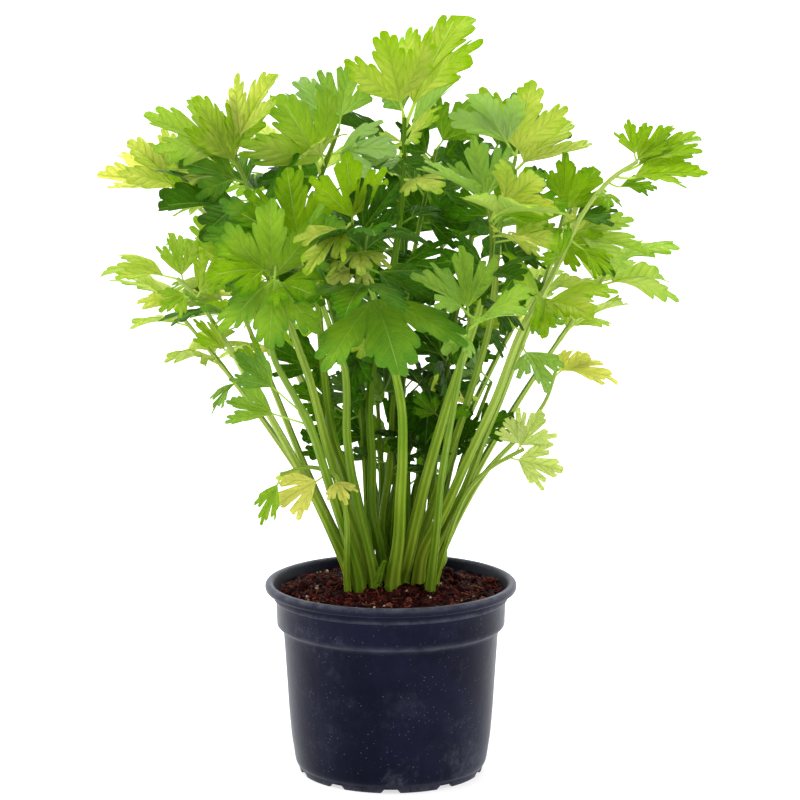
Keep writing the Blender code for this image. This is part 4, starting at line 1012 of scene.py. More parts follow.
def leaf_finish(looks):
    """Celery leaf: veined, glossy above, paler and bluish below, with a painted bluish sheen on some
    leaflets and light passing through.
    """
    f = Finish("celery_leaf")
    mottle = f.spread(f.noise(30.0, 4.0, 0.65), 0.8)
    rim = f.value("rim")
    tone = f.plus(f.value("tone"), mottle)
    tone = f.math("SUBTRACT", tone, f.fade(rim, 0.82, 1.0, 0.0, 0.13))
    tone = f.plus(tone, f.fade(rim, 0.0, 0.5, 0.08, 0.0))
    colour = f.ramp(tone, ((0.0, looks.leaf_dark), (0.3, looks.leaf_green), (0.62, looks.leaf_bright),
                           (1.0, looks.leaf_yellow)))
    across = f.value("across")
    main = f.fade(across, 0.12, f.fade(rim, 0.0, 1.0, 1.1, 0.35), 1.0, 0.0)
    turn = f.math("DIVIDE", f.value("along"), looks.vein_spacing / MM)
    off = f.math("PINGPONG", turn, 0.5)
    side = f.fade(off, 0.02, 0.11, 1.0, 0.0)
    side = f.times(side, f.fade(rim, 0.8, 1.0, 0.8, 0.0))
    net = f.fade(f.cells(620.0, "DISTANCE_TO_EDGE"), 0.0, 0.09, 0.35, 0.0)
    veins = f.most(f.most(main, side), net)
    share = f.times(f.fade(tone, 0.1, 0.8, 0.3, 0.5), f.fade(f.value("tone"), 0.9, 1.15, 1.0, 0.2))
    colour = f.mix(f.times(veins, share), colour, looks.vein)
    under = f.value("under")
    # Paler and bluish: the lower face for real, and where set a painted sheen, the white surroundings'
    # reflection painted on
    pale = f.most(f.value("pallor"), f.times(under, 0.45))
    pale = f.times(pale, f.fade(f.value("tone"), 0.05, 0.5, 0.12, 1.0))
    colour = f.mix(pale, colour, looks.leaf_pale_and_sheen)
    puff = f.math("MULTIPLY_ADD", off, 0.8, f.times(f.noise(500.0, 2.0), 0.35))
    height = f.math("SUBTRACT", puff, f.times(veins, 0.5))
    height = f.times(height, f.fade(under, 0.0, 1.0, 1.0, -1.0))
    share = f.times(f.fade(f.value("tone"), 0.1, 0.6, 0.2, 0.55),
                    f.fade(f.value("tone"), 0.7, 1.1, 1.0, 0.22))
    shade = f.mix(f.fade(f.value("tone"), 0.1, 0.5, 0.3, 0.0), colour, (0.0, 0.0, 0.0))
    glow = f.mix(share, shade, looks.leaf_glow)
    rough = f.plus(f.fade(f.noise(160.0), 0.3, 0.7, 0.34, 0.5), f.times(under, 0.15))
    inputs = {"Base Color": colour, "Roughness": rough, "Normal": f.bump(height, 0.001),
              "Specular IOR Level": 0.12, "Specular Tint": (0.75, 0.95, 0.25, 1.0)}
    return f.done(inputs, glow, 0.5)


def stalk_finish(looks):
    """Celery stalk: pale green, ribbed lengthwise, glossy and greener towards the leaves, with painted
    light on stalks that lean out and painted shade in the furrows and on the inner side.
    """
    f = Finish("celery_stalk")
    high = f.value("along")
    colour = f.ramp(high, ((0.0, looks.stalk_foot), (0.3, looks.stalk_middle), (1.0, looks.stalk_top)))
    turn = f.value("across")
    lines = f.math("MULTIPLY_ADD", f.math("COSINE", f.times(turn, RIDGES)), 0.5, 0.5)
    fibre = f.noise(260.0, 3.0, 0.6, (1.0, 1.0, 0.06))
    band = f.noise(150.0, 2.0, 0.5, (1.0, 1.0, 0.04))
    streak = f.plus(f.times(lines, 0.35), f.times(fibre, 0.35))
    streak = f.plus(streak, f.times(band, 0.5))
    tone = f.plus(f.value("tone"), f.spread(f.noise(22.0), 0.6))
    # Ribs and the furrows between them; the darker furrows are partly painted shade
    colour = f.mix(f.fade(streak, 0.1, 0.9, 0.5, 0.0), colour, looks.stalk_groove_and_shade)
    colour = f.mix(f.fade(streak, 0.45, 1.05, 0.0, 0.5), colour, looks.stalk_ridge)
    # Painted shade: darker stalks, those deep in the clump, take the groove colour
    colour = f.mix(f.fade(tone, 0.05, 0.75, 0.85, 0.0), colour, looks.stalk_groove_and_shade)
    # Painted shade: the inner side, where the groove faces the clump, is darker
    colour = f.mix(f.fade(turn, 0.15, 0.75, 0.5, 0.0), colour, looks.stalk_groove_and_shade)
    # Painted light: stalks that lean out to the sides are paler, as if lit from behind at the sides
    pale = f.times(f.value("pallor"), f.fade(high, 0.2, 0.7, 0.0, 0.5))
    colour = f.mix(pale, colour, looks.stalk_painted_light)
    colour = f.mix(f.fade(f.cells(150.0), 0.03, 0.09, 0.25, 0.0), colour, looks.stalk_fleck)
    height = f.plus(lines, f.times(fibre, 0.6))
    inputs = {"Base Color": colour, "Roughness": f.fade(fibre, 0.3, 0.7, 0.34, 0.48),
              "Normal": f.bump(height, 0.00025), "Specular IOR Level": 0.12,
              "Specular Tint": (0.7, 0.9, 0.35, 1.0)}
    return f.done(inputs)


def compost_finish(looks):
    """Damp peat: dark red-brown crumbs and fibres, with a few pale grains."""
    f = Finish("damp_peat")
    mottle = f.spread(f.noise(300.0, 5.0, 0.8), 1.5)
    tone = f.plus(f.value("tone"), mottle)
    colour = f.ramp(tone, ((0.0, looks.wet), (0.45, looks.peat), (0.8, looks.fibre), (1.0, looks.husk)))
    colour = f.mix(f.value("pallor"), colour, looks.grain)
    height = f.plus(f.noise(700.0, 4.0, 0.7), f.cells(480.0))
    return f.done({"Base Color": colour, "Roughness": f.fade(f.noise(420.0), 0.3, 0.7, 0.62, 0.95),
                   "Normal": f.bump(height, 0.0006), "Specular IOR Level": 0.06})


def pot_finish(looks):
    """Moulded plastic, near black with a navy cast: dusty, scuffed and paler where it rubs, with painted
    highlights along its rims and painted shade on the inner wall.
    """
    f = Finish("pot_plastic_worn")
    cloud = f.noise(22.0, 5.0, 0.65)
    colour = f.mix(f.fade(cloud, 0.35, 0.7), looks.plastic, looks.plastic_pale)
    specks = f.fade(f.cells(420.0), 0.05, 0.16, 1.0, 0.0)
    specks = f.times(specks, f.fade(f.noise(90.0, 2.0), 0.34, 0.58))
    larger = f.fade(f.cells(170.0), 0.04, 0.1, 0.6, 0.0)
    specks = f.most(specks, f.times(larger, f.fade(f.noise(50.0, 2.0), 0.45, 0.7)))
    streaks = f.fade(f.noise(90.0, 4.0, 0.7, (1.0, 1.0, 0.2)), 0.55, 0.8, 0.0, 0.16)
    patches = f.fade(f.noise(34.0, 6.0, 0.8), 0.5, 0.75, 0.0, 0.3)
    low = f.value("along")
    dust = f.most(f.times(specks, 0.5), f.times(patches, low))
    dust = f.most(dust, f.times(streaks, low))
    # Rubbed edges: partly real wear, partly painted highlight lines along the lip, bead and ledge
    worn_and_highlight = f.times(f.value("rim"), f.fade(f.noise(120.0, 4.0, 0.7), 0.3, 0.65, 0.25, 0.9))
    dust = f.most(dust, f.times(worn_and_highlight, 0.45), clamp=True)
    colour = f.mix(dust, colour, looks.dust)
    # Painted shade: the inner wall above the peat is near black
    colour = f.mix(f.times(f.value("under"), 0.85), colour, looks.inner_shade)
    rough = f.plus(f.fade(cloud, 0.3, 0.7, 0.3, 0.4), f.times(dust, 0.35))
    height = f.plus(f.noise(900.0, 2.0), f.times(f.noise(120.0, 3.0), 2.0))
    return f.done({"Base Color": colour, "Roughness": rough, "Normal": f.bump(height, 0.00006),
                   "Specular IOR Level": 0.08, "Specular Tint": (0.55, 0.6, 1.0, 1.0),
                   "Sheen Weight": 0.12, "Sheen Roughness": 0.35, "Sheen Tint": (0.75, 0.8, 1.0, 1.0)})


class Piece:
    """Gathers the points, faces and surface values of one piece before its mesh is made."""

    def __init__(self):
        self.points, self.faces, self.slots = [], [], []
        self.values = {name: [] for name in VALUES}
        self.count = 0

    def add(self, points, faces, slot=0, **values):
        """Points in millimetres, with one number or one for each point of a surface value."""
        points = np.asarray(points, float)
        self.points.append(points * MM)
        for face in faces:
            self.faces.append([v + self.count for v in face])
        self.slots += [slot] * len(faces)
        for name in VALUES:
            value = np.broadcast_to(np.asarray(values.get(name, 0.0), float), len(points))
            self.values[name].append(value)
        self.count += len(points)

    def finish(self, name, finishes, sharp=50):
        """Makes the mesh. Edges that turn more than sharp degrees stay sharp."""
        mesh = bpy.data.meshes.new(name)
        mesh.from_pydata(np.concatenate(self.points), [], self.faces)
        for value_name, value in self.values.items():
            held = mesh.attributes.new(value_name, "FLOAT", "POINT")
            held.data.foreach_set("value", np.concatenate(value).astype(np.float32))
        for finish in finishes:
            mesh.materials.append(finish)
        mesh.polygons.foreach_set("material_index", self.slots)
        mesh.polygons.foreach_set("use_smooth", [True] * len(mesh.polygons))
        mesh.update()
        mesh.set_sharp_from_angle(angle=math.radians(sharp))
        thing = bpy.data.objects.new(name, mesh)
        bpy.context.scene.collection.objects.link(thing)
        return thing


def ring_faces(rings):
    """Quads between rings of point numbers, each as long, with single points as fans."""
    faces = []
    for low, high in zip(rings, rings[1:]):
        for k in range(len(low)):
            m = (k + 1) % len(low)
            faces.append(tuple(dict.fromkeys((low[k], low[m], high[m], high[k]))))
    return faces


def tube(path, radii, sides, facing):
    """A closed tube along a path. radii is one for each ring, or for each ring and side."""
    path = np.asarray(path, float)
    rings = len(path)
    radii = np.array(radii, float, ndmin=1)
    radii = np.broadcast_to(radii.reshape(len(radii), -1), (rings, sides))
    run = np.gradient(path, axis=0)
    run /= np.linalg.norm(run, axis=1)[:, None]
    facing = np.broadcast_to(np.asarray(facing, float), path.shape)
    front = facing - run * (facing * run).sum(axis=1)[:, None]
    front /= np.linalg.norm(front, axis=1)[:, None]
    side = np.cross(run, front)
    turn = math.tau * np.arange(sides) / sides
    points = (path[:, None] + radii[..., None] * (front[:, None] * np.cos(turn)[None, :, None]
                                                  + side[:, None] * np.sin(turn)[None, :, None]))
    points = np.vstack([points.reshape(-1, 3), path[:1], path[-1:]])
    foot, head = rings * sides, rings * sides + 1
    faces = ring_faces([range(k * sides, (k + 1) * sides) for k in range(rings)])
    top = (rings - 1) * sides
    for m in range(sides):
        n = (m + 1) % sides
        faces += [(foot, n, m), (head, top + m, top + n)]
    return points, faces


def surface(leaf, s, t):
    """Middle of the blade for many places at once, and its normals."""
    ahead, up, side, bend, radius = leaf.frame()
    ahead, up, side, root = (np.array(v) for v in (ahead, up, side, leaf.root))
    lean = (bend / 2 - s * bend)[:, None]
    t = t[:, None]
    fold = math.radians(leaf.fold)
    rise = -ahead * np.sin(lean) + up * np.cos(lean)
    points = root + ahead * radius * (math.sin(bend / 2) - np.sin(lean))
    points = points + up * radius * (np.cos(lean) - math.cos(bend / 2))
    hang = np.abs(t) * math.sin(fold) - CUP * t * t
    points = points + side * t * math.cos(fold) + rise * hang
    easing = np.clip(t / 2.0, -1, 1)
    normals = rise * np.sqrt(1 - (math.sin(fold) * easing) ** 2) - side * math.sin(fold) * easing
    return points, normals


def half_rays(teeth, slit, rounded, draw):
    """One half of the edge: angles, reaches, and the reaches without notches."""
    depth = draw.uniform(*NOTCH_DEPTH)
    lobe = draw.uniform(*LOBE_SIZES)
    opened = draw.uniform(*SLIT_OPENS)
    angles, reaches = [], []
    for k, (angle, reach) in enumerate(teeth):
        if k % 2 and k != slit and k != len(teeth) - 1:
            tips = (teeth[k - 1][1] + teeth[k + 1][1]) / 2
            reach = tips + (reach - tips) * depth
        if k == slit:
            reach *= draw.uniform(*SLIT_REACHES)
        else:
            reach *= draw.uniform(*TOOTH_REACHES) * (lobe if k > slit else 1.0)
        if k == slit - 1:
            angle -= opened * 0.5
        elif k == slit + 1:
            angle += opened * 0.5
        elif k:
            angle += draw.uniform(-TOOTH_TURN, TOOTH_TURN)
        angles.append(angle)
        reaches.append(reach)
    smooth = np.interp(angles, angles[0::2], reaches[0::2])
    dense = [(angles[0], reaches[0])]
    for k in range(1, len(teeth)):
        tip, notch = (k - 1, k) if k % 2 else (k, k - 1)
        between = [(angles[tip] + way * (angles[notch] - angles[tip]),
                    reaches[tip] + drop * (reaches[notch] - reaches[tip])) for way, drop in rounded]
        dense += (between if k % 2 else between[::-1]) + [(angles[k], reaches[k])]
    dense_angles, dense_reaches = np.array(dense).T
    return dense_angles, dense_reaches, np.interp(dense_angles, angles, smooth)


def fine_blade(leaf, thick):
    """A toothed and lobed blade as a thin closed solid: points, faces and surface values."""
    draw = random.Random(leaf.seed + 7)
    length = leaf.run()
    blade = length * (1 - leaf.neck)
    teeth, slit, rounded, steps = SMALL_FORM if length < SMALL_BLADE else LARGE_FORM
    right, left = (half_rays(teeth, slit, rounded, draw) for _ in range(2))
    angles, reaches, smooth = (np.concatenate([b[:0:-1], a]) for a, b in zip(right, left))
    angles[:len(left[0]) - 1] *= -1
    f = np.array(steps)[:, None]
    r = np.vstack([np.zeros((1, len(angles))), f * (smooth + (reaches - smooth) * f)])
    f = np.vstack([[[0.0]], f])
    turn = np.radians(angles)[None]
    s = leaf.neck + (1 - leaf.neck) * r * np.cos(turn)
    t = blade * r * np.sin(turn) * leaf.breadth
    own = np.where(np.abs(angles) > teeth[slit][0], LOBE_AXES[1], LOBE_AXES[0]) * np.sign(angles)
    off = np.abs(turn - np.radians(own)[None])
    across = blade * r * np.sin(off)
    along = blade * r * np.cos(off) - VEIN_SLANT * across
    points, normals = surface(leaf, s.ravel(), t.ravel())
    phase, swing = draw.uniform(0, math.tau), draw.uniform(*WAVES)
    channel, wave, droop = (draw.uniform(*limits) for limits in (CHANNEL, WAVE, TIP_DROOP))
    out = r / smooth
    lift = channel * (across - CHANNEL_LEVEL * blade * r)
    lift = lift + wave * blade * out**2 * np.sin(swing * turn * 2 + phase) - droop * blade * out**4
    bends = [draw.uniform(*LOBE_TURNS) for way in (-1, 1)]
    bend = np.where(angles < 0, *bends) * np.clip((np.abs(angles) - teeth[slit][0]) / LOBE_TURNS_IN, 0, 1)
    lift = lift + bend[None] * blade * out**3
    points = points + normals * lift.ravel()[:, None]
    half = (thick / 2 * (1 - EDGE_THINS * f) * np.ones_like(r)).ravel()[:, None]
    rays, rings = len(angles), len(r)
    total = rays * rings
    faces = []
    for k in range(rings - 1):
        for m in range(rays - 1):
            a, b = k * rays + m, k * rays + m + 1
            c, d = b + rays, a + rays
            if k == 0:
                faces += [(0, c, d), (total, total + d, total + c)]
            else:
                faces += [(a, b, c, d), (total + a, total + d, total + c, total + b)]
    edge = [0, *range(rays, rings * rays, rays), *range((rings - 1) * rays + 1, rings * rays)]
    edge += range((rings - 1) * rays - 1, rays, -rays)
    for a, b in zip(edge, edge[1:] + edge[:1]):
        faces.append((a, b, b + total, a + total))
    both = np.vstack([points + normals * half, points - normals * half])
    values = {"across": np.tile(across.ravel(), 2), "along": np.tile(along.ravel(), 2),
              "rim": np.tile((f * np.ones_like(r)).ravel(), 2), "under": np.repeat([0.0, 1.0], total)}
    used = np.ones(2 * total, bool)
    used[1:rays] = used[total + 1:total + rays] = False
    number = np.cumsum(used) - 1
    faces = [tuple(int(number[v]) for v in face) for face in faces]
    return both[used], faces, {k: v[used] for k, v in values.items()}, channel


def add_leaflet(piece, leaf, joint, looks, tone, pallor):
    """The blade, its stem with the midrib that it runs into, and the ribs of the side lobes."""
    points, faces, values, channel = fine_blade(leaf, looks.blade_thickness / MM)
    piece.add(points, faces, 1, tone=tone, pallor=pallor, **values)
    blade = leaf.run() * (1 - leaf.neck)
    stout = min(max(blade / STOUT_BLADE, 0.6), 1.2)
    past_neck = leaf.neck + (1 - leaf.neck) * np.linspace(0.1, 0.86, 8)
    s = np.concatenate([np.linspace(0, leaf.neck, 7), past_neck])
    path, normals = surface(leaf, s, np.zeros_like(s))
    bare = np.clip(1 - s / leaf.neck, 0, 1)[:, None]
    path = path + (np.array(joint) - np.array(leaf.root)) * bare**2
    past = np.clip((s - leaf.neck) / (1 - leaf.neck), 0, 1)
    thick = stout * (MIDRIB - MIDRIB_SLIMS * past**0.7 + MIDRIB_FLARES * bare[:, 0] ** 3)
    sunk = path - normals * (channel * CHANNEL_LEVEL * blade * past + 0.55 * thick)[:, None]
    vein = {"tone": min(tone + 0.15, 1.0), "pallor": 0.3, "rim": 0.5}
    piece.add(*tube(sunk, thick, RIB_SIDES, normals), 1, **vein)
    for way in (-1, 1):
        r = np.linspace(*LOBE_RIB, 7)
        turn = math.radians(LOBE_AXES[1]) * way
        path, normals = surface(leaf, leaf.neck + (1 - leaf.neck) * r * math.cos(turn),
                                blade * r * math.sin(turn) * leaf.breadth)
        thick = stout * (SIDE_RIB - SIDE_RIB_SLIMS * r / LOBE_RIB[1])
        sunk = path - normals * (channel * CHANNEL_LEVEL * blade * r + 0.6 * thick)[:, None]
        piece.add(*tube(sunk, thick, RIB_SIDES - 1, normals), 1, **vein)


def add_stalk(piece, way, girth, shares, tone, pallor):
    """A ribbed stalk, hollowed on its inner side, swollen where leaflets leave it."""
    length = length_of(way)
    flare = 1 + FLARE * np.exp(-np.clip(way[:, 2] - SOIL_TOP, 0, None) / FLARE_REACH)
    swell = np.zeros_like(SHARES)
    for place in shares:
        swell = np.maximum(swell, np.exp(-((SHARES - place) * length / JOINT_REACH) ** 2))
    base = radii_along(girth) * flare * (1 + JOINT_SWELL * swell) * (1 - HEAD_SLIMS * SHARES**4)
    inward = np.array([-way[-1][0] + way[0][0], -way[-1][1] + way[0][1], 0.0])
    if np.linalg.norm(inward) < UPRIGHT_WITHIN:
        inward = np.array([0.0, 1.0, 0.0])
    turn = math.tau * np.arange(STALK_ROUND) / STALK_ROUND
    turn = np.minimum(turn, math.tau - turn)
    groove = GROOVE * (1 - 0.6 * SHARES)[:, None] * np.exp(-(turn / GROOVE_WIDE) ** 2)[None]
    ridges = RIDGE * np.cos(RIDGES * turn)[None] * (1 - 0.5 * SHARES)[:, None]
    points, faces = tube(way, base[:, None] * (1 + ridges - groove), STALK_ROUND, inward)
    along = np.append(np.repeat(SHARES, STALK_ROUND), [0.0, 1.0])
    across = np.append(np.tile(turn, len(way)), [math.pi, math.pi])
    piece.add(points, faces, 0, tone=tone, pallor=pallor, along=along, across=across)


def clump(draw, small):
    """An uneven lump about 1 mm in radius: points and faces."""
    made = bmesh.new()
    bmesh.ops.create_icosphere(made, subdivisions=1 if small else 2, radius=1.0)
    stretch = [draw.uniform(*LUMP_SIDES) for _ in range(3)]
    points = [[c * k * draw.uniform(*LUMP_ROUGH) for c, k in zip(v.co, stretch)] for v in made.verts]
    faces = [[v.index for v in face.verts] for face in made.faces]
    made.free()
    return np.array(points), faces


def spot_on_bed(draw):
    """A place on the compost, a little denser round the stalks."""
    r = BED_REACH * draw.random() ** BED_DENSER
    a = draw.uniform(0, math.tau)
    return r * math.cos(a), r * math.sin(a)


def bed_height(x, y):
    """The finer bed: the compost's own surface with clods and pits on it."""
    rough = noise.fractal(Vector((x, y, 3.0)) / CLOD_SIZE, 0.8, 2.1, 4)
    pits = noise.noise(Vector((x, y, 9.0)) / PIT_SIZE)
    return soil_height(x, y) + CLOD_RISE * rough + PIT_RISE * pits


def lathe(profile, sides):
    """Points and faces of an (r, z) profile turned round +Z, from axis to axis."""
    points, rings = [], []
    for r, z in profile:
        if r == 0:
            rings.append([len(points)] * sides)
            points.append((0.0, 0.0, z))
            continue
        rings.append(list(range(len(points), len(points) + sides)))
        turns = [math.tau * k / sides for k in range(sides)]
        points += [(r * math.cos(a), r * math.sin(a), z) for a in turns]
    return points, ring_faces(rings)


def fine_pot(looks):
    """The moulded pot with its rolled lip, bead, ledge, notched foot and drain holes."""
    points, faces = lathe(POT_OUTSIDE + POT_INSIDE, POT_ROUND)
    points = np.array(points)
    spread = math.tau / NOTCHES
    off = np.abs((np.arctan2(points[:, 1], points[:, 0]) % spread) - spread / 2) * FOOT_R
    radius = np.hypot(points[:, 0], points[:, 1])
    notched = (off < NOTCH_W / 2) & (radius > FOOT_R - FOOT_DEPTH) & (points[:, 2] < NOTCH_H)
    points[notched, 2] = NOTCH_H
    piece = Piece()
    piece.add(points, faces)
    pot = piece.finish("nursery_pot", [pot_finish(looks)], sharp=40)
    cutters = []
    for k in range(DRAIN_HOLES):
        a = math.tau * k / DRAIN_HOLES
        centre = Vector((math.cos(a), math.sin(a), 0)) * DRAIN_RING_R
        bore = Piece()
        bore.add(*tube([centre + UP * z for z in DRAIN_BORE], DRAIN_R, DRAIN_SIDES, (1, 0, 0)))
        cutters.append(bore.finish(f"drain_bore_{k}", []))
    cut_holes(pot, cutters)
    mark_pot(pot.data)
    return pot


def cut_holes(body, cutters):
    """Takes the cutters out of the body and removes them."""
    group = bpy.data.collections.new("drain_bores")
    bpy.context.scene.collection.children.link(group)
    for thing in cutters:
        bpy.context.scene.collection.objects.unlink(thing)
        group.objects.link(thing)
    step = body.modifiers.new("drain", "BOOLEAN")
    step.operation, step.operand_type, step.solver = "DIFFERENCE", "COLLECTION", "EXACT"
    step.collection = group
    view = bpy.context.evaluated_depsgraph_get()
    shaped = bpy.data.meshes.new_from_object(body.evaluated_get(view))
    body.modifiers.clear()
    body.data = shaped
    for thing in cutters:
        bpy.data.objects.remove(thing, do_unlink=True)
    bpy.data.collections.remove(group)


def mark_pot(mesh):
    """Writes where the plastic rubs pale, with painted highlights (rim), dust gathers (along) and the
    inner wall takes painted shade (under).
    """
    where = np.empty(len(mesh.vertices) * 3)
    mesh.vertices.foreach_get("co", where)
    x, y, height = where.reshape(-1, 3).T / MM
    worn_and_highlight = np.zeros(len(height))
    # Pale bands at the rubbed edges: wear and painted highlight
    for centre, reach, strength in WORN_AND_HIGHLIGHT:
        worn_and_highlight = np.maximum(worn_and_highlight, strength * np.exp(-((height - centre) / reach) ** 2))
    foot, ledge = DUST_FOOT, DUST_LEDGE
    dust = DUST_ALL + foot[0] * np.exp(-height / foot[1])
    dust = dust + ledge[0] * np.exp(-((height - ledge[1]) / ledge[2]) ** 2)
    for across, z, reach, strength in SCUFFS:
        off = np.hypot(x - across, height - z) / reach
        dust += np.where(y < 0, strength * np.exp(-off**2), 0)
    top = max(range(len(POT_OUTSIDE)), key=lambda k: POT_OUTSIDE[k][1])
    bore = sorted((z, r) for r, z in POT_OUTSIDE[top:] + POT_INSIDE)
    wall = np.interp(height, [z for z, _ in bore], [r for _, r in bore])
    # Painted shade on the inner wall, fading out just under the top of the lip
    inner_shade = np.where(np.hypot(x, y) < wall + WALL_SLACK, np.clip((INNER_SHADE_TOP - height) / INNER_SHADE_FADE, 0, 1), 0)
    marks = {"rim": worn_and_highlight * (1 - inner_shade), "along": np.clip(dust * (1 - inner_shade), 0, 1), "under": inner_shade}
    for name, values in marks.items():
        mesh.attributes[name].data.foreach_set("value", values.astype(np.float32))


def fine_compost(looks):
    """The bed of peat with the crumbs, fibres and pale grains that lie on it."""
    draw = random.Random(SEED)
    piece = Piece()
    tops = [(BED_EDGE * (1 - k / BED_RINGS) ** 0.9, SOIL_EDGE_Z) for k in range(BED_RINGS)]
    points, faces = lathe([*BED_WALLS, *tops, (0, SOIL_EDGE_Z)], BED_ROUND)
    first = 1 + (len(BED_WALLS) - 1) * BED_ROUND
    points = [p if k < first else (p[0], p[1], bed_height(p[0], p[1])) for k, p in enumerate(points)]
    tones = [0.3 + 0.5 * noise.noise(Vector((x, y, 1.0)) / TONE_SIZE) for x, y, z in points]
    piece.add(points, faces, tone=tones)
    for k in range(looks.crumbs):
        size = min(draw.lognormvariate(*CRUMB_SIZE), CRUMB_MOST)
        shape, faces = clump(draw, size < CRUMB_FINE)
        x, y = spot_on_bed(draw)
        spot = np.array([x, y, bed_height(x, y) + 0.25 * size])
        piece.add(shape * size + spot, faces, tone=draw.betavariate(2, 2.6))
    for k in range(looks.fibres):
        x, y = spot_on_bed(draw)
        a, length, bend, lift = (draw.uniform(*limits) for limits in FIBRE_SHAPE)
        path = []
        for u in np.linspace(-0.5, 0.5, 6):
            px = x + length * (u * math.cos(a) - bend * u * u * math.sin(a))
            py = y + length * (u * math.sin(a) + bend * u * u * math.cos(a))
            path.append((px, py, bed_height(px, py) + 0.4 + lift * max(0.0, u + 0.1)))
        piece.add(*tube(path, draw.uniform(*FIBRE_R), 4, UP), tone=draw.uniform(0.35, 0.95))
    for k in range(looks.pale_grains):
        x, y = spot_on_bed(draw)
        shape, faces = clump(draw, False)
        size = draw.uniform(*GRAIN_SIZE)
        spot = np.array([x, y, bed_height(x, y) + 0.5 * size])
        piece.add(shape * size + spot, faces, tone=0.5, pallor=draw.uniform(0.5, 1.0))
    return piece.finish("peat_bed", [compost_finish(looks)], sharp=60)


def fine_frond(looks, finishes, name, shoots):
    """One frond as one piece. Each shoot is its way, girth and rows of leaflet, share and tones."""
    piece = Piece()
    draw = random.Random(name)
    for way, girth, rows in shoots:
        # Painted light: a stalk whose head leans out sideways is lighter and paler; inner stalks stay
        # darker as painted shade
        lean = min(abs(way[-1][0]) / STALK_PAINTED_LIGHT_FROM, 1.0)
        tone = STALK_TONE + STALK_TONE_OUT * lean + STALK_TONE_VARIES * draw.random()
        add_stalk(piece, way, girth, [share for leaf, share, *_ in rows], tone, lean**2)
        for leaf, share, tone, pallor in rows:
            add_leaflet(piece, leaf, at_share(way, share)[0], looks, tone, pallor)
    return piece.finish(f"leafy_{name}", finishes)


def young_shoots(names, ways, girths, extra):
    """Slim shoots among the stalks, with dark leaflets as painted shade deep in the clump, by the frond
    that each belongs to.
    """
    draw = random.Random(SEED + 1)
    made = {name: [] for name in names}
    others, stout = list(ways), list(girths)
    blockers = stalk_trees(ways, girths) + [blade_tree(leaf) for row in extra for share, leaf in row]
    for name, head, girth, length in YOUNG:
        parent = ways[names.index(name)]
        foot = parent[np.searchsorted(parent[:, 2], SOIL_TOP) - 1]
        way = through([foot, *bowed(foot[:2], head, YOUNG_BOW)])
        way = eased(way, girth, others, stout)
        others.append(way)
        stout.append(girth)
        own = tree(*stalk_mesh(way, girth))
        rows = []
        for share, degrees in YOUNG_SPRAY if length else ():
            root = at_share(way, share)[0]
            a = math.radians(degrees + draw.uniform(-YOUNG_TURN, YOUNG_TURN))
            ahead = Vector((math.cos(a), -math.sin(a), draw.uniform(*YOUNG_RISE)))
            tip = root + ahead.normalized() * length * draw.uniform(*YOUNG_SIZES)
            way_up = draw.choice((-1, 1))
            face = (math.sin(a) * way_up, math.cos(a) * way_up - YOUNG_FACE, draw.uniform(*YOUNG_TILT))
            leaf = cleared(grown(draw, root, tip, Vector(face), YOUNG_SHAPE), blockers, [own])
            if leaf:
                blockers.append(blade_tree(leaf))
                rows.append((leaf, share, draw.uniform(*YOUNG_TONE), 0.0))
        made[name].append((way, girth, rows))
    return made


def off_axis(x, y):
    """How far a place lies from the middle of the clump."""
    return math.hypot(x, y - MOUND_Y)


def fill_heights(name, way):
    """The lowest and highest place at which small leaflets leave a stalk, or None."""
    x, y, top = way[-1]
    low, high = FILL_FROM, min(top - FILL_BELOW_HEAD, FILL_TO)
    if off_axis(x, y) > FILL_NONE:
        return None
    if off_axis(x, y) > FILL_OUT:
        low, high = top - FILL_OUT_REACH[1], top - FILL_OUT_REACH[0]
    elif way[0][1] > FILL_DEEP_Y and abs(way[0][0]) < FILL_DEEP_X:
        low = FILL_DEEP_FROM
    low, high = FILL_BETWEEN.get(name, (low, high))
    return (low, high) if high >= low and top >= FILL_FROM else None


def fillers(name, way, seed):
    """Small leaflets between the others, where the plant is densest."""
    draw = random.Random(seed)
    heights = fill_heights(name, way)
    made = []
    for k in range(FILL_MOST if heights else 0):
        share = float(np.interp(draw.uniform(*heights), way[:, 2], SHARES))
        root = at_share(way, share)[0]
        a = draw.uniform(0, math.tau)
        out = Vector((root.x, root.y - MOUND_Y, 0)) / FILL_OUTWARD
        ahead = Vector((math.cos(a), math.sin(a), 0)) + out + Vector((0, 0, draw.uniform(*FILL_RISE)))
        tip = root + ahead.normalized() * draw.uniform(*FILL_LENGTH)
        face = Vector((draw.uniform(*FILL_TILT), draw.uniform(*FILL_TILT), 1)) + out * FILL_FACE
        made.append((share, grown(draw, root, tip, face, FILL_SHAPE)))
    return made


def fill_in(names, ways, girths, leaflets):
    """The fillers that find room, bent clear of the rest, as (share, leaflet) for each frond."""
    stalks = stalk_trees(ways, girths)
    blades = [blade_tree(leaf) for row in leaflets for leaf in row]
    found = []
    for i, (name, way) in enumerate(zip(names, ways)):
        kept = []
        for share, leaf in fillers(name, way, SEED + 100 + i):
            leaf = cleared(leaf, stalks[:i] + stalks[i + 1:] + blades, [stalks[i]])
            if leaf:
                kept.append((share, leaf))
                blades.append(blade_tree(leaf))
        found.append(kept)
    return found


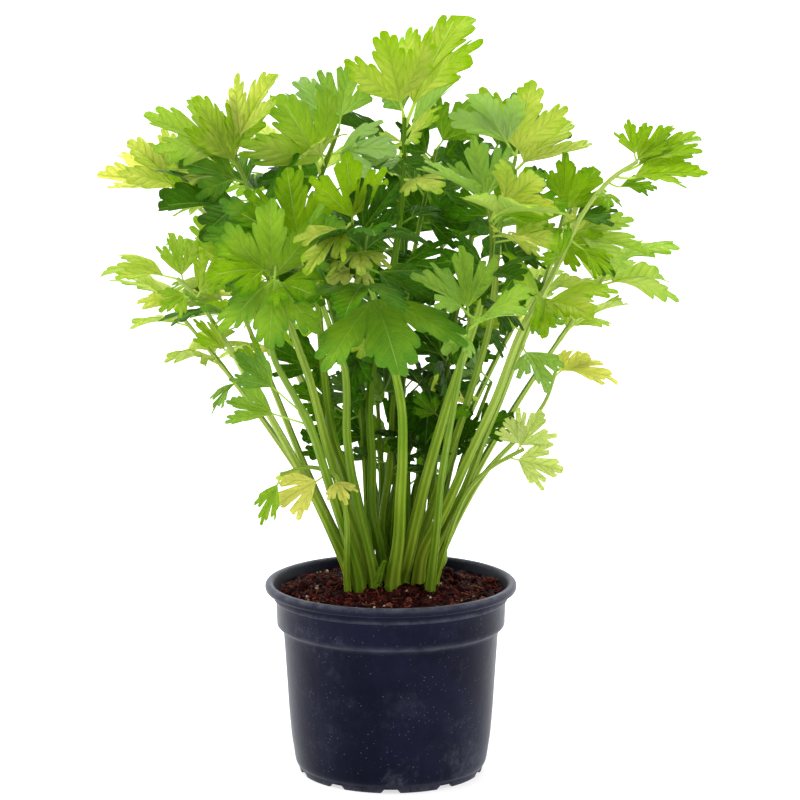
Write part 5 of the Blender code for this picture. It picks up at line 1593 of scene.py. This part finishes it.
def own_tones(draw, name, way):
    """Share along the stalk, tone and painted sheen of each leaflet that the source has too."""
    if name in FRONDS:
        leaves = FRONDS[name][3]
        return [(share, *row[6:8]) for share, row in zip(leaf_shares(way, leaves), leaves)]
    # Painted shade and light: hidden fronds deep in the clump are darker, those leaning out lighter
    limits = OUTER_HIDDEN_TONE if off_axis(*way[-1][:2]) > OUTER_FROM else HIDDEN_TONE
    return [(row[0], draw.uniform(*limits), draw.uniform(*PAINTED_SHEEN)) for row in SPRAY]


def filler_tones(draw, leaf):
    """Tone and painted sheen of a small leaflet: the outer ones are more often bright as painted light,
    the others darker as painted shade.
    """
    outer = off_axis(leaf.tip.x, leaf.tip.y) > OUTER_FROM
    limits = FILL_BRIGHT if draw.random() < FILL_BRIGHT_SHARE[outer] else FILL_TONE
    return draw.uniform(*limits), draw.uniform(*PAINTED_SHEEN)


def dress(piece, node):
    """Puts a finer piece in the place of its node."""
    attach(piece, "root")
    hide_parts(node)


def colour_setting(name, description, default):
    return FloatVectorProperty(name=name, description=description, default=default, subtype="COLOR",
                               size=3, min=0.0, max=1.0)


def number_setting(kind, name, description, default, **more):
    return kind(name=name, description=description, default=default, min=0, **more)


def length_setting(name, description, default):
    return number_setting(FloatProperty, name, description, default, unit="LENGTH", precision=5)


class PotLooks(PropertyGroup):
    """Colours of the nursery pot"""

    plastic: colour_setting("Plastic", "Colour of the clean plastic", (0.003, 0.003, 0.009))
    plastic_pale: colour_setting("Plastic, faded", "Colour of its faded patches", (0.007, 0.0075, 0.021))
    # Also the colour of the painted highlight along the rims
    dust: colour_setting("Dust", "Colour of dust, scuffs and rubbed edges", (0.16, 0.17, 0.21))
    # Painted shade on the inner wall above the peat
    inner_shade: colour_setting("Damp", "Colour of the inner wall above the peat", (0.0012, 0.0008, 0.001))


class CompostLooks(PropertyGroup):
    """Colours of the compost and how much lies on it"""

    wet: colour_setting("Wet peat", "Colour in the pits", (0.004, 0.0007, 0.0008))
    peat: colour_setting("Peat", "Colour of most crumbs", (0.022, 0.0024, 0.0026))
    fibre: colour_setting("Fibre", "Colour of red-brown fibres", (0.12, 0.017, 0.011))
    husk: colour_setting("Husk", "Colour of the palest fibres", (0.22, 0.1, 0.045))
    grain: colour_setting("Grain", "Colour of the pale grains", (0.5, 0.5, 0.36))
    crumbs: number_setting(IntProperty, "Crumbs", "How many crumbs lie on the bed", 1300)
    fibres: number_setting(IntProperty, "Fibres", "How many fibres lie on the bed", 520)
    pale_grains: number_setting(IntProperty, "Pale grains", "How many pale grains lie on the bed", 34)


class FrondLooks(PropertyGroup):
    """Colours and fineness of the fronds"""

    # Also the painted shade of leaflets deep in the plant
    leaf_dark: colour_setting("Leaf, dark", "Leaf deep in the plant", (0.014, 0.11, 0.001))
    leaf_green: colour_setting("Leaf, green", "Full-grown leaf", (0.065, 0.28, 0.003))
    leaf_bright: colour_setting("Leaf, bright", "Young leaf in the light", (0.34, 0.56, 0.008))
    leaf_yellow: colour_setting("Leaf, yellow", "Leaf that is turning", (0.97, 0.92, 0.24))
    # Also the colour of the painted sheen, the white surroundings' reflection painted on leaflets
    leaf_pale_and_sheen: colour_setting("Leaf, bluish", "Paler lower face", (0.55, 0.77, 0.32))
    leaf_glow: colour_setting("Leaf, glow", "Light that passes through a leaf", (0.7, 0.88, 0.01))
    vein: colour_setting("Vein", "Veins and midribs", (0.58, 0.76, 0.12))
    stalk_foot: colour_setting("Stalk, foot", "Stalk near the compost", (0.14, 0.2, 0.008))
    stalk_middle: colour_setting("Stalk, middle", "Stalk at half height", (0.175, 0.285, 0.012))
    stalk_top: colour_setting("Stalk, top", "Stalk among the leaves", (0.165, 0.31, 0.012))
    stalk_ridge: colour_setting("Stalk, ridge", "Ribs along the stalks", (0.5, 0.58, 0.07))
    # Also the painted shade in the furrows, on the stalks' inner side and on inner stalks
    stalk_groove_and_shade: colour_setting("Stalk, groove", "Grooves along the stalks", (0.05, 0.15, 0.004))
    # Painted light on stalks that lean out to the sides
    stalk_painted_light: colour_setting("Stalk, pale", "Stalks that lean out into the light", (0.6, 0.72, 0.2))
    stalk_fleck: colour_setting("Stalk, fleck", "Small marks on the stalks", (0.1, 0.16, 0.03))
    blade_thickness: length_setting("Blade thickness", "Thickness of a leaflet", 0.0004)
    vein_spacing: length_setting("Vein spacing", "Distance between side veins", 0.0055)


class StageLooks(PropertyGroup):
    """The plain stage and its light"""

    floor: colour_setting("Floor", "Colour of the floor and backdrop", (0.38, 0.38, 0.38))
    reach: length_setting("Reach", "Radius of the floor with its wall", 2.4)
    glow: number_setting(FloatProperty, "Glow", "How brightly the backdrop is lit", 1.15)
    # Painted shadow: the dimmer glow round the pot
    shadow_glow: number_setting(FloatProperty, "Glow, near", "The same under the pot", 0.66)
    front: number_setting(FloatProperty, "Front", "Share of the glow that the front keeps", 0.22, max=1)
    sky: number_setting(FloatProperty, "Sky", "Strength of the white light all round", 0.4)
    key: number_setting(FloatProperty, "Key", "Power of the soft key light", 30.0, unit="POWER")
    fill: number_setting(FloatProperty, "Fill", "Power of the soft fill light", 6.0, unit="POWER")
    side: number_setting(FloatProperty, "Side", "Power of the lights from both sides", 12.0, unit="POWER")


class CELERY_OT_pot(Operator):
    """Build the moulded nursery pot in place of its solid"""

    bl_idname = "celery.pot"
    bl_label = "Build pot"

    def execute(self, context):
        dress(fine_pot(context.scene.celery_pot), "pot")
        return {"FINISHED"}


class CELERY_OT_compost(Operator):
    """Build the bed of peat in place of its solid"""

    bl_idname = "celery.compost"
    bl_label = "Build compost"

    def execute(self, context):
        dress(fine_compost(context.scene.celery_compost), "soil")
        return {"FINISHED"}


class CELERY_OT_fronds(Operator):
    """Build every frond, stalk and leaflets, in place of its solid"""

    bl_idname = "celery.fronds"
    bl_label = "Build fronds"

    def execute(self, context):
        looks = context.scene.celery_fronds
        finishes = [stalk_finish(looks), leaf_finish(looks)]
        names, ways, girths, leaflets = plan()
        draw = random.Random(SEED)
        extra = fill_in(names, ways, girths, leaflets)
        young = young_shoots(names, ways, girths, extra)
        for name, way, girth, leaves, more in zip(names, ways, girths, leaflets, extra):
            tones = own_tones(draw, name, way)
            if len(leaves) != len(tones):
                raise RuntimeError(f"{name} has a leaflet without room")
            rows = [(leaf, *row) for leaf, row in zip(leaves, tones)]
            rows += [(leaf, share, *filler_tones(draw, leaf)) for share, leaf in more]
            dress(fine_frond(looks, finishes, name, [(way, girth, rows)] + young[name]), name)
        return {"FINISHED"}


class CELERY_OT_stage(Operator):
    """Build the floor, backdrop, lights and camera"""

    bl_idname = "celery.stage"
    bl_label = "Build stage"

    def execute(self, context):
        looks = context.scene.celery_stage
        make_backdrop(looks)
        for name, place, size, power, share in LIGHTS:
            make_light(name, place, size, getattr(looks, power) * share)
        world = bpy.data.worlds.new("studio_sky")
        world.use_nodes = True
        sky = world.node_tree.nodes["Background"]
        sky.inputs["Color"].default_value = (1.0, 1.0, 1.0, 1.0)
        sky.inputs["Strength"].default_value = looks.sky
        context.scene.world = world
        context.scene.view_settings.view_transform = "Standard"
        camera = bpy.data.objects.new("camera", bpy.data.cameras.new("camera"))
        context.scene.collection.objects.link(camera)
        camera.location = CAMERA_AT
        camera.rotation_euler = (math.radians(90 - CAMERA_PITCH), 0, 0)
        camera.data.lens = CAMERA_LENS
        context.scene.camera = camera
        return {"FINISHED"}


def make_light(name, place, size, power):
    """A soft square light that looks at the middle of the plant."""
    light = bpy.data.lights.new(name, "AREA")
    light.energy, light.size = power, size
    thing = bpy.data.objects.new(name, light)
    thing.location = place
    aim = UP * LIGHTS_AIM - Vector(place)
    thing.rotation_euler = aim.to_track_quat("-Z", "Y").to_euler()
    bpy.context.scene.collection.objects.link(thing)


def make_backdrop(looks):
    """A pale round floor that curves up into a wall, lit from behind except at the front, its glow dimmer
    round the pot as a painted shadow.
    """
    bend, flat = BACKDROP_BEND, looks.reach / MM - BACKDROP_BEND
    turns = [math.pi / 2 * k / BACKDROP_STEPS for k in range(BACKDROP_STEPS + 1)]
    curve = [(flat + bend * math.sin(a), bend - bend * math.cos(a)) for a in turns]
    f = Finish("pale_paper")
    grain = f.fade(f.noise(60.0, 4.0), 0.3, 0.7, 0.95, 1.0)
    colour = f.mix(grain, (0.3, 0.3, 0.3), looks.floor)
    way = add_node(f.tree, "SeparateXYZ", {0: f.place}).outputs
    across = f.math("SQRT", f.plus(f.math("POWER", way["X"], 2.0), f.math("POWER", way["Y"], 2.0)))
    # Painted shadow: the glow is dimmer round the pot
    glow = f.times(f.fade(across, *SHADOW_GLOW_REACH, looks.shadow_glow, looks.glow),
                   f.fade(way["Y"], *FRONT_GLOW, looks.front, 1.0))
    paper = f.done({"Base Color": colour, "Roughness": 0.9, "Specular IOR Level": 0.1,
                    "Emission Color": (1.0, 1.0, 1.0, 1.0), "Emission Strength": glow})
    piece = Piece()
    piece.add(*lathe([(0, 0.0), *curve, (looks.reach / MM, BACKDROP_TOP)], BACKDROP_ROUND))
    piece.finish("backdrop", [paper])


class CELERY_PT_panel(Panel):
    """Lists the operators in the 3D view's sidebar"""

    bl_idname = "CELERY_PT_panel"
    bl_label = "Potted celery"
    bl_space_type = "VIEW_3D"
    bl_region_type = "UI"
    bl_category = "Celery"

    def draw(self, context):
        for operator, group, looks in STEPS:
            box = self.layout.box()
            box.operator(operator.bl_idname)
            for key in looks.__annotations__:
                box.prop(getattr(context.scene, group), key)


STEPS = (
    (CELERY_OT_stage, "celery_stage", StageLooks),
    (CELERY_OT_pot, "celery_pot", PotLooks),
    (CELERY_OT_compost, "celery_compost", CompostLooks),
    (CELERY_OT_fronds, "celery_fronds", FrondLooks),
)


def register():
    for operator, group, looks in STEPS:
        bpy.utils.register_class(looks)
        bpy.utils.register_class(operator)
        setattr(bpy.types.Scene, group, PointerProperty(type=looks))
    bpy.utils.register_class(CELERY_PT_panel)


def unregister():
    bpy.utils.unregister_class(CELERY_PT_panel)
    for operator, group, looks in reversed(STEPS):
        delattr(bpy.types.Scene, group)
        bpy.utils.unregister_class(operator)
        bpy.utils.unregister_class(looks)


def main():
    """Builds everything."""
    register()
    bpy.ops.celery.stage()
    bpy.ops.celery.pot()
    bpy.ops.celery.compost()
    bpy.ops.celery.fronds()
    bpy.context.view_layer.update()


if __name__ == "__main__":
    main()
